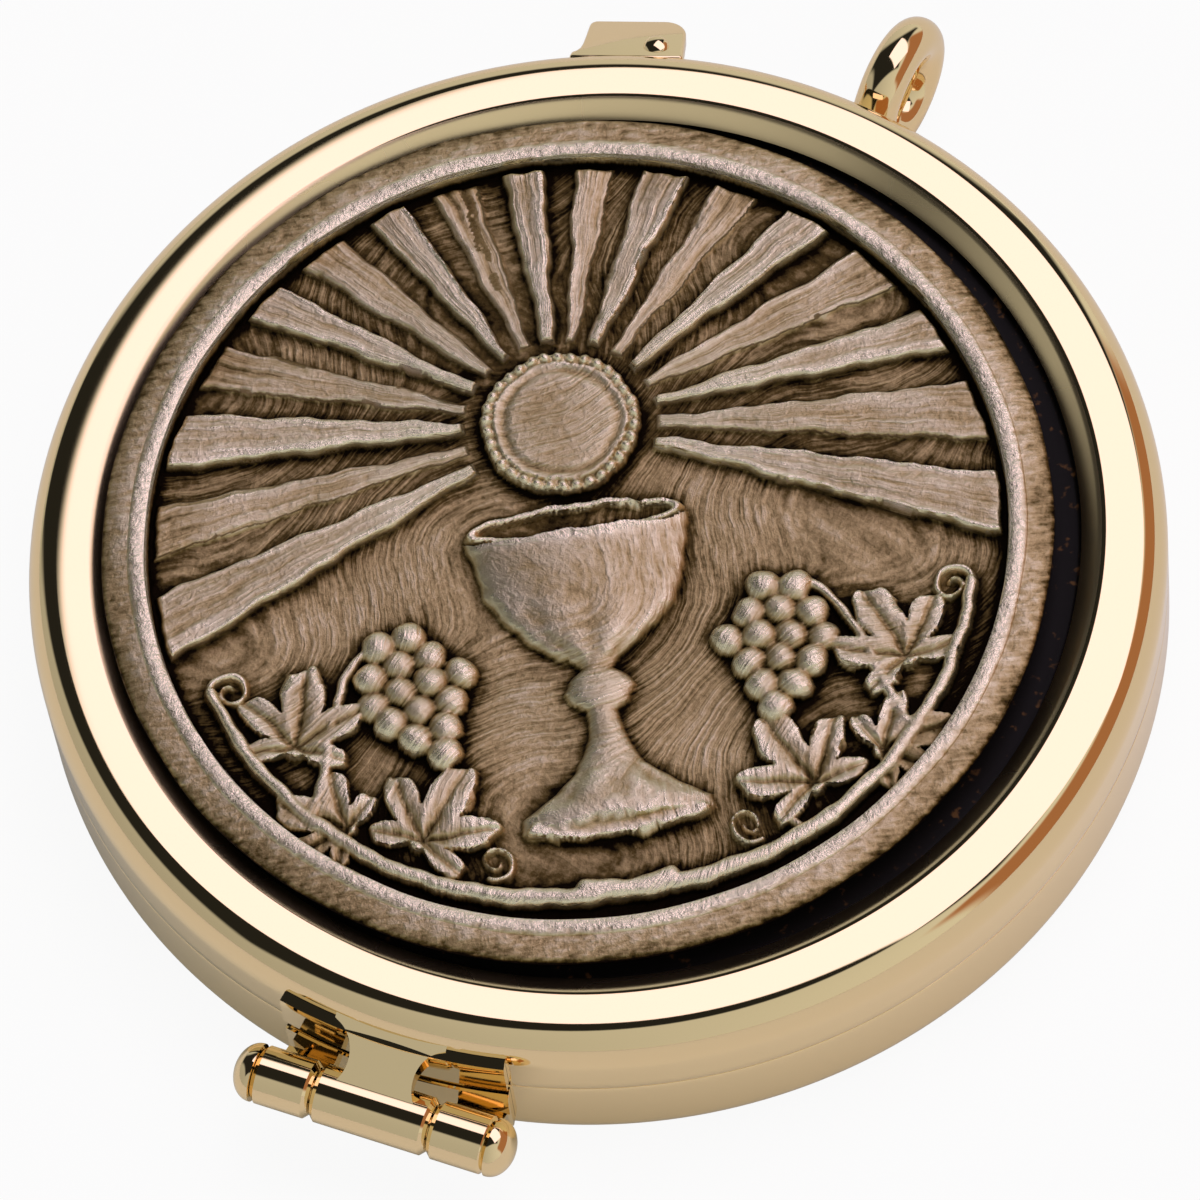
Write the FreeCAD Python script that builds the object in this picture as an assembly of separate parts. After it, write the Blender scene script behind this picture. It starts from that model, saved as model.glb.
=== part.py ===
"""Round hinged pyx: a flat gilt brass case with a cast pewter medallion set in its lid.

Millimetres, +Z up. The origin is the middle of the base's flat underside. The hinge is on
the -Y side; the lid's thumb tab and the base's cord ring are on the +Y side.
"""
import FreeCAD, Part
import math
import os

from FreeCAD import Vector

os.makedirs("parts", exist_ok=True)

# ---------------------------------------------------------------- driving dimensions (mm)
case_radius = 27.0            # outside of both drawn shells
base_height = 5.4             # table to the seam between base and lid
lid_height = 4.1              # seam to the top of the polished rim
seam_gap = 0.05               # hairline between the two shells
shell_wall = 0.7              # drawn brass sheet
base_corner_radius = 1.8      # rolled lower edge of the base

rim_width = 1.25              # flat polished top of the lid's rim
shoulder_width = 1.55         # rim's outer edge out to the side wall
shoulder_drop = 2.1           # height over which the shoulder falls to the side wall
rim_inner_round = 0.9         # rounding from the rim over to the slope inside it
seat_slope = 36.0             # degrees, that slope below level
seat_slope_width = 0.72       # width of its straight part, down to the recess
recess_depth = 1.3            # rim top to the floor that carries the medallion
recess_corner = 0.2           # rounding between the recess wall and its floor
rim_under_round = 0.2         # rounding under the rim

collar_thickness = 0.5        # spigot ring that the lid closes over
collar_depth = 3.0            # how far it reaches down into the base
collar_stand = 1.7            # how far it stands above the seam
collar_chamfer = 0.15
collar_solder_film = 0.02     # between collar and base wall
lid_slip_clearance = 0.12     # between collar and the lid's skirt

medallion_shift_x = -0.70     # the casting is glued a little off centre
medallion_shift_y = -0.38
medallion_side_clearance = 0.22
medallion_draft = 0.47        # the casting's edge widens this much from its underside up
bond_thickness = 0.1          # adhesive under the casting
bond_margin = 0.6             # the adhesive stops short of the casting's edge
medallion_stand = 0.7         # its bead above the polished rim
border_slope_width = 1.25     # plain outer band of the casting
border_slope_drop = 0.45      # that band falls this much towards the edge
bead_width = 0.85             # rounded bead inside the band
bead_rise = 0.12              # bead above the band's inner edge
field_depth = 1.1             # bead's top down to the sunk field
design_turn = 28.0            # the design's upright, turned from +Y towards -X (degrees)

host_radius = 3.9             # plain disc in the upper half
host_centre_up = 6.0          # above the medallion's centre
host_relief = 0.8
ray_count = 17
ray_relief = 0.5
ray_gap_from_host = 0.7
ray_edge_gap = 0.35           # ray ends stop short of the bead
ray_fan = 236.0               # degrees covered by the fan of rays
ray_fill = 0.62               # share of each ray's pitch that is solid
chalice_relief = 0.85
chalice_cup_half_width = 5.0
chalice_cup_top = 0.6         # heights from the medallion's centre
chalice_cup_bottom = -6.4
chalice_knop_centre = -8.3
chalice_knop_radius = 1.5
chalice_stem_half_width = 0.75
chalice_foot_top = -11.6
chalice_foot_half_width = 4.6
chalice_foot_bottom = -15.2
stem_relief = 0.6
stem_curve = ((-2.0, -18.6), (7.6, -20.4), (15.6, -14.2), (18.0, -5.6))
stem_half_widths = (0.6, 0.36)            # at the start and the tip
stem_facets = 9
stalk_curve = ((14.0, -12.6), (12.6, -9.6), (12.6, -5.0), (9.6, -3.9))
stalk_half_widths = (0.4, 0.24)
stalk_facets = 5
leaf_relief = 0.42
leaves = ((14.4, -9.0, 4.3, 108.0), (12.6, -13.6, 3.7, 23.0), (9.2, -14.8, 4.4, 123.0))
leaf_lobes = ((0, 1.0), (28, 0.62), (52, 0.86), (78, 0.5), (104, 0.62), (150, 0.16))
grape_relief = 0.78
grape_radius = 0.88
grape_rows = (2, 3, 4, 3, 2, 1)
grape_pitch = 1.46            # across a row
grape_row_pitch = 1.28
bunch_top = (9.15, -4.3)
bunch_facing = -101.0         # degrees, the way the bunch hangs

hinge_reach = 2.6             # case wall out to the hinge axis
knuckle_radius = 1.4
knuckle_bore_radius = 0.65
pin_running_clearance = 0.05
lid_knuckle_length = 5.7
base_knuckle_length = 2.85
knuckle_gap = 0.1
knuckle_chamfer = 0.25        # at the ends that face another knuckle
pin_head_dome = 1.1           # each domed head stands out this far
pin_head_gap = 0.02           # head to knuckle
leaf_thickness = 0.45
leaf_width = 10.9             # both leaves, across the hinge
leaf_corner_radius = 0.7
leaf_solder_film = 0.02
lid_leaf_lower = 0.35         # lid leaf's lower edge above the seam
lid_leaf_upper = 2.7          # its upper edge above the seam, on the spring of the shoulder
base_leaf_upper = 0.25        # base leaf's upper edge below the seam
base_leaf_lower = 3.6         # its lower edge below the seam
web_thickness = 0.7           # sloping plates between leaf and knuckle
web_rise = 2.75               # seam to where the webs meet the case, above and below it
web_hollow_radius = 1.5       # round hollow in each side of the lid's web
web_hollow_out = 1.4          # its centre, out from the case wall
web_hollow_depth = 1.13       # how far it cuts into the web
web_side_gap = 0.12           # lid's web to the base's webs

tab_width = 5.3               # at the wall
tab_tip_width = 4.5           # one side is straight, the other narrows to this
tab_reach = 2.65              # wall to tip
tab_thickness = 0.8
tab_top_above_seam = 3.2
tab_droop = 1.5               # the tip hangs this far below the root
tab_tip_round = 0.3           # along the tip's upper edge
tab_corner_rounds = (1.1, 0.35)           # in plan, at the straight and at the narrowing side
tab_azimuth = 107.4           # degrees from +X
tab_solder_film = 0.02

ring_wire_radius = 1.1
ring_loop_radius = 2.6        # to the wire's centre
ring_azimuth = 82.3
ring_table_gap = 0.1          # lowest point of the ring above the table
ring_wall_gap = 0.15          # ring to the case wall, bridged by its solder foot
ring_foot_radius = 1.25
ring_foot_overlap = 0.6       # the foot's length inside the wire
ring_solder_film = 0.02

# ---------------------------------------------------------------- derived values
seam_z = base_height
lid_bottom_z = seam_z + seam_gap
rim_top_z = seam_z + lid_height
inner_radius = case_radius - shell_wall
rim_outer_radius = case_radius - shoulder_width
rim_inner_radius = rim_outer_radius - rim_width
slope_angle = math.radians(seat_slope)
slope_top_radius = rim_inner_radius - rim_inner_round * math.sin(slope_angle)
slope_top_z = rim_top_z - rim_inner_round * (1 - math.cos(slope_angle))
recess_radius = slope_top_radius - seat_slope_width
slope_bottom_z = slope_top_z - seat_slope_width * math.tan(slope_angle)
recess_floor_z = rim_top_z - recess_depth

medallion_bottom_radius = (recess_radius - medallion_side_clearance
                           - math.hypot(medallion_shift_x, medallion_shift_y))
medallion_radius = medallion_bottom_radius + medallion_draft
medallion_bottom_z = recess_floor_z + bond_thickness
medallion_top_z = rim_top_z + medallion_stand
field_z = medallion_top_z - field_depth
band_inner_radius = medallion_radius - border_slope_width
field_radius = band_inner_radius - bead_width

hinge_y = -(case_radius + hinge_reach)
hinge_z = seam_z + seam_gap / 2
pin_radius = knuckle_bore_radius - pin_running_clearance
base_knuckle_start = lid_knuckle_length / 2 + knuckle_gap
base_knuckle_end = base_knuckle_start + base_knuckle_length
head_start = base_knuckle_end + pin_head_gap


# ---------------------------------------------------------------- shape helpers
def line(start, end):
    """Straight edge in the XZ plane between two (r, z) points."""
    return Part.makeLine(Vector(start[0], 0, start[1]), Vector(end[0], 0, end[1]))


def arc(centre, radius_r, radius_z, start_deg, end_deg):
    """Round or elliptical edge in the XZ plane, from one angle to another about its centre."""
    def at(degrees):
        angle = math.radians(degrees)
        return Vector(centre[0] + radius_r * math.cos(angle), 0,
                      centre[1] + radius_z * math.sin(angle))

    if abs(radius_r - radius_z) < 1e-9:
        return Part.Arc(at(start_deg), at((start_deg + end_deg) / 2), at(end_deg)).toShape()
    middle = Vector(centre[0], 0, centre[1])
    tip_r = Vector(centre[0] + radius_r, 0, centre[1])
    tip_z = Vector(centre[0], 0, centre[1] + radius_z)
    upright = radius_z > radius_r
    ellipse = Part.Ellipse(tip_z, tip_r, middle) if upright else Part.Ellipse(tip_r, tip_z, middle)
    ends = sorted((ellipse.parameter(at(start_deg)), ellipse.parameter(at(end_deg))))
    if ends[1] - ends[0] > math.pi:
        ends = [ends[1], ends[0] + 2 * math.pi]
    return ellipse.toShape(*ends)


def turned(edges):
    """Solid of revolution about Z from the closed outline of the given edges."""
    outline = Part.Wire(Part.__sortEdges__(edges))
    solid = Part.Face(outline).revolve(Vector(0, 0, 0), Vector(0, 0, 1), 360)
    return solid if solid.Volume > 0 else solid.reversed()


def tube(outer, inner, low, high):
    """Upright ring between two radii and two heights."""
    ring = Part.makeCylinder(outer, high - low, Vector(0, 0, low))
    return ring.cut(Part.makeCylinder(inner, high - low, Vector(0, 0, low)))


def rod(radius, start, end):
    """Round bar along X on the hinge axis, from one x to another."""
    return Part.makeCylinder(radius, end - start, Vector(start, hinge_y, hinge_z), Vector(1, 0, 0))


def knuckle(start, end, facing_ends):
    """Hinge knuckle from one x to another, chamfered at the ends that face another knuckle."""
    solid = rod(knuckle_radius, start, end)
    rims = [e for e in solid.Edges
            if any(all(abs(v.Point.x - x) < 1e-6 for v in e.Vertexes) for x in facing_ends)]
    return solid.makeChamfer(knuckle_chamfer, rims)


def plate(points, start, end):
    """Prism along X whose section is given as (distance out from the case wall, z) points."""
    corners = [Vector(start, -(case_radius + out), z) for out, z in points]
    face = Part.Face(Part.makePolygon(corners + corners[:1]))
    return face.extrude(Vector(end - start, 0, 0))


def window(width, low, high, corner):
    """Rounded upright slab through the hinge side, used to trim the leaves to outline."""
    depth = hinge_reach + shoulder_width + shell_wall + leaf_thickness
    block = Part.makeBox(width, depth, high - low, Vector(-width / 2, -case_radius - hinge_reach, low))
    upright_ends = [e for e in block.Edges
                    if abs(e.Vertexes[0].Point.y - e.Vertexes[-1].Point.y) > depth / 2]
    return block.makeFillet(corner, upright_ends)


# ---------------------------------------------------------------- base
def make_base_shell():
    """Drawn dish: flat bottom, rolled lower edge and upright wall up to the seam."""
    corner = (case_radius - base_corner_radius, base_corner_radius)
    inner_corner = base_corner_radius - shell_wall
    return turned([
        line((0, 0), (corner[0], 0)),
        arc(corner, base_corner_radius, base_corner_radius, -90, 0),
        line((case_radius, base_corner_radius), (case_radius, seam_z)),
        line((case_radius, seam_z), (inner_radius, seam_z)),
        line((inner_radius, seam_z), (inner_radius, base_corner_radius)),
        arc(corner, inner_corner, inner_corner, 0, -90),
        line((corner[0], shell_wall), (0, shell_wall)),
        line((0, shell_wall), (0, 0)),
    ])


def make_base_collar():
    """Spigot ring soldered inside the base wall; the part above the seam is drawn in a little."""
    lower = inner_radius - collar_solder_film
    upper = inner_radius - lid_slip_clearance
    inside = upper - collar_thickness
    low = seam_z - collar_depth
    high = seam_z + collar_stand
    return turned([
        line((inside, low), (lower, low)),
        line((lower, low), (lower, seam_z)),
        line((lower, seam_z), (upper, seam_z)),
        line((upper, seam_z), (upper, high - collar_chamfer)),
        line((upper, high - collar_chamfer), (upper - collar_chamfer, high)),
        line((upper - collar_chamfer, high), (inside, high)),
        line((inside, high), (inside, low)),
    ])


def make_cord_ring():
    """Round wire ring standing upright on the base wall, soldered on by a short foot."""
    centre_r = case_radius + ring_wall_gap + ring_loop_radius + ring_wire_radius
    centre_z = ring_table_gap + ring_loop_radius + ring_wire_radius
    ring = Part.makeTorus(ring_loop_radius, ring_wire_radius, Vector(centre_r, 0, centre_z),
                          Vector(0, 1, 0))
    foot_end = case_radius + ring_wall_gap + ring_foot_overlap
    foot = Part.makeCylinder(ring_foot_radius, foot_end - inner_radius,
                             Vector(inner_radius, 0, centre_z), Vector(1, 0, 0))
    wall = Part.makeCylinder(case_radius + ring_solder_film, seam_z + ring_loop_radius * 2)
    solid = ring.fuse(foot).cut(wall).removeSplitter()
    solid.rotate(Vector(0, 0, 0), Vector(0, 0, 1), ring_azimuth)
    return solid


# ---------------------------------------------------------------- lid
def lid_outer_edges(grow):
    """Outside of the lid from the seam over the shoulder to its axis, grown by a distance."""
    side = case_radius + grow
    spring_z = rim_top_z - shoulder_drop
    top = rim_top_z + grow
    shoulder = arc((rim_outer_radius, spring_z), shoulder_width + grow, shoulder_drop + grow, 0, 90)
    return [line((side, seam_z), (side, spring_z)), shoulder,
            line((rim_outer_radius, top), (0, top)),
            line((0, top), (0, seam_z)), line((0, seam_z), (side, seam_z))]


def make_lid_shell():
    """Drawn cap: skirt, shoulder, flat polished rim and a sunk seat for the medallion."""
    spring_z = rim_top_z - shoulder_drop
    under = shell_wall
    rim_round_centre = (rim_inner_radius, rim_top_z - rim_inner_round)
    seat_round_centre = (recess_radius - recess_corner, recess_floor_z + recess_corner)
    seat_round_under = recess_corner + under
    under_round_centre = (recess_radius + under + rim_under_round, rim_top_z - under - rim_under_round)
    return turned([
        line((inner_radius, lid_bottom_z), (case_radius, lid_bottom_z)),
        line((case_radius, lid_bottom_z), (case_radius, spring_z)),
        arc((rim_outer_radius, spring_z), shoulder_width, shoulder_drop, 0, 90),
        line((rim_outer_radius, rim_top_z), (rim_inner_radius, rim_top_z)),
        arc(rim_round_centre, rim_inner_round, rim_inner_round, 90, 90 + seat_slope),
        line((slope_top_radius, slope_top_z), (recess_radius, slope_bottom_z)),
        line((recess_radius, slope_bottom_z), (recess_radius, seat_round_centre[1])),
        arc(seat_round_centre, recess_corner, recess_corner, 0, -90),
        line((seat_round_centre[0], recess_floor_z), (0, recess_floor_z)),
        line((0, recess_floor_z), (0, recess_floor_z - under)),
        line((0, recess_floor_z - under), (seat_round_centre[0], recess_floor_z - under)),
        arc(seat_round_centre, seat_round_under, seat_round_under, -90, 0),
        line((recess_radius + under, seat_round_centre[1]), (recess_radius + under, under_round_centre[1])),
        arc(under_round_centre, rim_under_round, rim_under_round, 180, 90),
        line((under_round_centre[0], rim_top_z - under), (rim_outer_radius, rim_top_z - under)),
        arc((rim_outer_radius, spring_z), shoulder_width - under, shoulder_drop - under, 90, 0),
        line((inner_radius, spring_z), (inner_radius, lid_bottom_z)),
    ])


def make_thumb_tab():
    """Flat lip soldered to the lid's skirt, sloping down from its root to a rounded tip."""
    slope = math.atan2(tab_droop, tab_reach)
    inside = case_radius - shell_wall
    tip = case_radius + tab_reach
    root_z = seam_z + tab_top_above_seam
    inside_z = root_z + shell_wall * math.tan(slope)
    tip_z = root_z - tab_droop
    straight_side = -tab_width / 2
    section = [Vector(inside, straight_side, inside_z), Vector(tip, straight_side, tip_z),
               Vector(tip - tab_thickness * math.sin(slope), straight_side,
                      tip_z - tab_thickness * math.cos(slope)),
               Vector(inside, straight_side, inside_z - tab_thickness / math.cos(slope))]
    strip = Part.Face(Part.makePolygon(section + section[:1])).extrude(Vector(0, tab_width, 0))
    tip_edge = [e for e in strip.Edges if all(abs(v.Point.x - tip) < 1e-6 for v in e.Vertexes)]
    strip = strip.makeFillet(tab_tip_round, tip_edge)
    narrow_side = straight_side + tab_tip_width
    plan = [Vector(inside, straight_side, 0), Vector(tip, straight_side, 0),
            Vector(tip, narrow_side, 0), Vector(case_radius, -straight_side, 0),
            Vector(inside, -straight_side, 0)]
    outline = Part.Face(Part.makePolygon(plan + plan[:1])).extrude(Vector(0, 0, rim_top_z))
    for side, corner_round in zip((straight_side, narrow_side), tab_corner_rounds):
        corner = [e for e in outline.Edges
                  if all(math.hypot(v.Point.x - tip, v.Point.y - side) < 1e-6 for v in e.Vertexes)]
        outline = outline.makeFillet(corner_round, corner)
    wall = turned(lid_outer_edges(tab_solder_film))
    solid = strip.common(outline).cut(wall)
    solid.rotate(Vector(0, 0, 0), Vector(0, 0, 1), tab_azimuth)
    return solid


# ---------------------------------------------------------------- medallion
def make_medallion_bond():
    """Thin disc of adhesive between the lid's seat and the casting."""
    return Part.makeCylinder(medallion_bottom_radius - bond_margin, bond_thickness,
                             Vector(medallion_shift_x, medallion_shift_y, recess_floor_z))


def medallion_blank():
    """Casting without its design: drafted edge, sloping band, rounded bead and sunk field."""
    band_z = medallion_top_z - bead_rise
    edge_z = band_z - border_slope_drop
    bead_centre = (field_radius + bead_width / 2, band_z)
    return turned([
        line((0, medallion_bottom_z), (medallion_bottom_radius, medallion_bottom_z)),
        line((medallion_bottom_radius, medallion_bottom_z), (medallion_radius, edge_z)),
        line((medallion_radius, edge_z), (band_inner_radius, band_z)),
        arc(bead_centre, bead_width / 2, bead_rise, 0, 180),
        line((field_radius, band_z), (field_radius, field_z)),
        line((field_radius, field_z), (0, field_z)),
        line((0, field_z), (0, medallion_bottom_z)),
    ])


def relief(points, height):
    """Raised flat form on the field from a closed outline of (x, y) points."""
    sunk = field_z - (field_z - medallion_bottom_z) / 2
    corners = [Vector(x, y, sunk) for x, y in points]
    face = Part.Face(Part.makePolygon(corners + corners[:1]))
    return face.extrude(Vector(0, 0, field_z + height - sunk))


def ray_forms():
    """Fan of tapered rays from the disc out to the bead."""
    start = host_radius + ray_gap_from_host
    pitch = ray_fan / ray_count
    half = math.radians(pitch * ray_fill / 2)
    limit = field_radius - ray_edge_gap
    forms = []
    for index in range(ray_count):
        middle = math.radians(90 - ray_fan / 2 + pitch * (index + 0.5))
        outline = []
        for side, inner in ((-1, True), (-1, False), (1, False), (1, True)):
            angle = middle + side * half
            direction = (math.cos(angle), math.sin(angle))
            rise = host_centre_up * direction[1]
            reach = -rise + math.sqrt(rise ** 2 + limit ** 2 - host_centre_up ** 2)
            distance = start if inner else reach
            outline.append((distance * direction[0], host_centre_up + distance * direction[1]))
        forms.append(relief(outline, ray_relief))
    return forms


def chalice_forms():
    """Cup, knop, stem and foot of the chalice as plain raised shapes."""
    sunk = field_z - (field_z - medallion_bottom_z) / 2
    height = field_z + chalice_relief - sunk
    cup_half = chalice_cup_half_width
    cup_depth = chalice_cup_top - chalice_cup_bottom
    bowl = [(cup_half * math.cos(math.radians(step)),
             chalice_cup_top - cup_depth * math.sin(math.radians(step)))
            for step in range(0, 181, 15)]
    stem = chalice_stem_half_width
    foot = chalice_foot_half_width
    column = [(-stem, chalice_cup_bottom + stem), (stem, chalice_cup_bottom + stem),
              (stem, chalice_foot_top), (foot, chalice_foot_bottom),
              (-foot, chalice_foot_bottom), (-stem, chalice_foot_top)]
    knop = Part.makeCylinder(chalice_knop_radius, height, Vector(0, chalice_knop_centre, sunk))
    return [relief(bowl, chalice_relief), relief(column, chalice_relief), knop]


def stem_form(curve, half_widths, facets):
    """Tapering band along a Bezier curve of four (x, y) points."""
    middle = []
    for step in range(facets + 1):
        t = step / facets
        shares = ((1 - t) ** 3, 3 * (1 - t) ** 2 * t, 3 * (1 - t) * t ** 2, t ** 3)
        middle.append(tuple(sum(share * point[axis] for share, point in zip(shares, curve))
                            for axis in (0, 1)))
    left = []
    right = []
    for step, (x, y) in enumerate(middle):
        before = middle[max(step - 1, 0)]
        after = middle[min(step + 1, facets)]
        length = math.hypot(after[0] - before[0], after[1] - before[1])
        across = (-(after[1] - before[1]) / length, (after[0] - before[0]) / length)
        half = half_widths[0] + (half_widths[1] - half_widths[0]) * step / facets
        left.append((x + across[0] * half, y + across[1] * half))
        right.append((x - across[0] * half, y - across[1] * half))
    return relief(left + right[::-1], stem_relief)


def leaf_form(root_x, root_y, size, facing):
    """Five-lobed leaf from its root in a facing direction."""
    outline = {(side * angle, length) for side in (-1, 1) for angle, length in leaf_lobes}
    points = []
    for angle, length in sorted(outline):
        turn = math.radians(facing + angle)
        points.append((root_x + size * length * math.cos(turn), root_y + size * length * math.sin(turn)))
    return relief(points, leaf_relief)


def bunch_form():
    """Outline of the hanging bunch of grapes."""
    turn = math.radians(bunch_facing)
    down = (math.cos(turn), math.sin(turn))
    sides = {-1: [], 1: []}
    for row, count in enumerate(grape_rows):
        for side in sides:
            along = row * grape_row_pitch
            aside = side * ((count - 1) / 2 * grape_pitch + grape_radius)
            sides[side].append((bunch_top[0] + down[0] * along - down[1] * aside,
                                bunch_top[1] + down[1] * along + down[0] * aside))
    return relief(sides[-1] + sides[1][::-1], grape_relief)


def vine_forms():
    """Vine on the right: stem, stalk, leaves and grapes; the left one is its mirror image."""
    forms = [stem_form(stem_curve, stem_half_widths, stem_facets),
             stem_form(stalk_curve, stalk_half_widths, stalk_facets), bunch_form()]
    forms += [leaf_form(*values) for values in leaves]
    return forms + [form.mirror(Vector(0, 0, 0), Vector(1, 0, 0)) for form in forms]


def make_medallion():
    """Pewter casting: a disc and its rays over a chalice between two vines, in a beaded border."""
    sunk = field_z - (field_z - medallion_bottom_z) / 2
    host = Part.makeCylinder(host_radius, field_z + host_relief - sunk,
                             Vector(0, host_centre_up, sunk))
    forms = ray_forms() + chalice_forms() + vine_forms() + [host]
    solid = medallion_blank().fuse(forms).removeSplitter()
    solid.rotate(Vector(0, 0, 0), Vector(0, 0, 1), design_turn)
    solid.translate(Vector(medallion_shift_x, medallion_shift_y, 0))
    return solid


# ---------------------------------------------------------------- hinge
def make_lid_hinge_leaf():
    """Leaf on the lid's skirt, sloping waisted web and the middle knuckle."""
    jacket = turned(lid_outer_edges(leaf_solder_film + leaf_thickness))
    jacket = jacket.cut(turned(lid_outer_edges(leaf_solder_film)))
    leaf = jacket.common(window(leaf_width, seam_z + lid_leaf_lower, seam_z + lid_leaf_upper,
                                leaf_corner_radius))
    half = lid_knuckle_length / 2
    knuckle_top = hinge_z + knuckle_radius - web_thickness / 3
    fall = (seam_z + web_rise - knuckle_top) / hinge_reach
    inside_top = seam_z + web_rise + fall * shell_wall
    below = web_thickness * math.hypot(1, fall)
    web = plate([(-shell_wall, inside_top), (hinge_reach, knuckle_top),
                 (hinge_reach, knuckle_top - below), (-shell_wall, inside_top - below)],
                -half + web_side_gap, half - web_side_gap)
    for side in (-1, 1):
        across = side * (half - web_side_gap + web_hollow_radius - web_hollow_depth)
        web = web.cut(Part.makeCylinder(web_hollow_radius, lid_height + seam_z,
                                        Vector(across, -(case_radius + web_hollow_out), 0)))
    skin = turned(lid_outer_edges(leaf_solder_film))
    solid = leaf.fuse([web.cut(skin), knuckle(-half, half, (-half, half))])
    return solid.cut(rod(knuckle_bore_radius, -half, half)).removeSplitter()


def make_base_hinge_leaf():
    """Leaf on the base wall with a web up to each of the two outer knuckles."""
    outside = case_radius + leaf_solder_film
    jacket = tube(outside + leaf_thickness, outside, 0, seam_z)
    leaf = jacket.common(window(leaf_width, seam_z - base_leaf_lower, seam_z - base_leaf_upper,
                                leaf_corner_radius))
    root = leaf_solder_film + leaf_thickness / 2
    solid = leaf
    for side in (-1, 1):
        start, end = sorted((side * base_knuckle_start, side * base_knuckle_end))
        outer = knuckle(start, end, [side * base_knuckle_start])
        outer = outer.cut(rod(knuckle_bore_radius, start, end))
        web_end = min(base_knuckle_end, leaf_width / 2)
        start, end = sorted((side * (base_knuckle_start + web_side_gap), side * web_end))
        web = plate([(root, seam_z - web_rise + web_thickness * 3 / 2),
                     (hinge_reach, hinge_z - knuckle_radius + web_thickness * 4 / 3),
                     (hinge_reach, hinge_z - knuckle_radius + web_thickness / 3),
                     (root, seam_z - web_rise)], start, end)
        web = web.cut(Part.makeCylinder(outside, seam_z)).cut(rod(knuckle_bore_radius, start, end))
        solid = solid.fuse([outer, web])
    return solid.removeSplitter()


def make_hinge_pin():
    """Pin through all three knuckles with a domed head on each end."""
    dome_radius = (knuckle_radius ** 2 + pin_head_dome ** 2) / (2 * pin_head_dome)
    solid = rod(pin_radius, -head_start - pin_head_dome / 2, head_start + pin_head_dome / 2)
    for side in (-1, 1):
        centre = side * (head_start + pin_head_dome - dome_radius)
        ball = Part.makeSphere(dome_radius, Vector(centre, hinge_y, hinge_z))
        start, end = sorted((side * head_start, side * (head_start + pin_head_dome * 2)))
        solid = solid.fuse(ball.common(rod(knuckle_radius, start, end)))
    return solid.removeSplitter()


# ---------------------------------------------------------------- write the parts
nodes = {
    "base_shell": make_base_shell(),
    "base_collar": make_base_collar(),
    "cord_ring": make_cord_ring(),
    "lid_shell": make_lid_shell(),
    "thumb_tab": make_thumb_tab(),
    "medallion_bond": make_medallion_bond(),
    "medallion": make_medallion(),
    "lid_hinge_leaf": make_lid_hinge_leaf(),
    "base_hinge_leaf": make_base_hinge_leaf(),
    "hinge_pin": make_hinge_pin(),
}

for name, shape in nodes.items():
    shape.exportStep(f"parts/{name}.step")
    box = shape.BoundBox
    print(f"{name:16s} solids {len(shape.Solids)} volume {shape.Volume:9.2f} valid {shape.isValid()} "
          f"z {box.ZMin:.2f} to {box.ZMax:.2f}")
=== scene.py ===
import math

import bpy
import numpy as np
from mathutils import Matrix, Vector


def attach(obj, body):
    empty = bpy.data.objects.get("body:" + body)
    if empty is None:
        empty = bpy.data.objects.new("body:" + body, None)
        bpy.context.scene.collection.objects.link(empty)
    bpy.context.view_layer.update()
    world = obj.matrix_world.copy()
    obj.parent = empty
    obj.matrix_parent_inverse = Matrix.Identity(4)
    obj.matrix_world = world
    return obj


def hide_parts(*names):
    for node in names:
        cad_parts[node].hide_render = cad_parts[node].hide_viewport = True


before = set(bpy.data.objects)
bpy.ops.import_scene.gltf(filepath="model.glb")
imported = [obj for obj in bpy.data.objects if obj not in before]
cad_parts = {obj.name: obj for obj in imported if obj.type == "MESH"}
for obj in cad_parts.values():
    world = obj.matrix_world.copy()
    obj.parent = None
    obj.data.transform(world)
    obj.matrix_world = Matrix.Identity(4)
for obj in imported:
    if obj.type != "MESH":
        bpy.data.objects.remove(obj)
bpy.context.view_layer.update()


# ------------------------------------------------------------------ camera
# The photograph looks down at the case from 62 degrees above the table, through a long lens
# from 0.4 m away, with the hinge to the lower left and the camera rolled by 8.5 degrees.
MM = 0.001
RIM_TOP = 9.5
CAMERA_AZIMUTH = 28.0           # 0 looks along +Y, over the hinge
CAMERA_ELEVATION = 61.94
CAMERA_ROLL = 8.477
CAMERA_DISTANCE = 399.3         # mm, to the middle of the rim
AIM_RIGHT = 0.311               # mm, the view's centre from the middle of the rim
AIM_UP = -3.265
LENS_OVER_SENSOR = 8475.0 / 1200     # both in pixels of the photograph
SENSOR = 36.0

azimuth = math.radians(CAMERA_AZIMUTH)
elevation = math.radians(CAMERA_ELEVATION)
roll = math.radians(CAMERA_ROLL)
level_right = Vector((math.cos(azimuth), math.sin(azimuth), 0))
away = Vector((-math.sin(azimuth), math.cos(azimuth), 0))
level_up = away * math.sin(elevation) + Vector((0, 0, math.cos(elevation)))
back = -away * math.cos(elevation) + Vector((0, 0, math.sin(elevation)))
view_right = level_right * math.cos(roll) - level_up * math.sin(roll)
view_up = level_right * math.sin(roll) + level_up * math.cos(roll)
eye = (Vector((0, 0, RIM_TOP)) + back * CAMERA_DISTANCE
       + view_right * AIM_RIGHT + view_up * AIM_UP) * MM

camera_data = bpy.data.cameras.new("camera")
camera_data.sensor_width = SENSOR
camera_data.lens = SENSOR * LENS_OVER_SENSOR
camera_data.clip_start = 0.01
camera = bpy.data.objects.new("camera", camera_data)
bpy.context.scene.collection.objects.link(camera)
camera.matrix_world = Matrix((
    (view_right.x, view_up.x, back.x, eye.x),
    (view_right.y, view_up.y, back.y, eye.y),
    (view_right.z, view_up.z, back.z, eye.z),
    (0, 0, 0, 1)))
bpy.context.scene.camera = camera
bpy.context.scene.view_settings.view_transform = "Standard"


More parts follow.
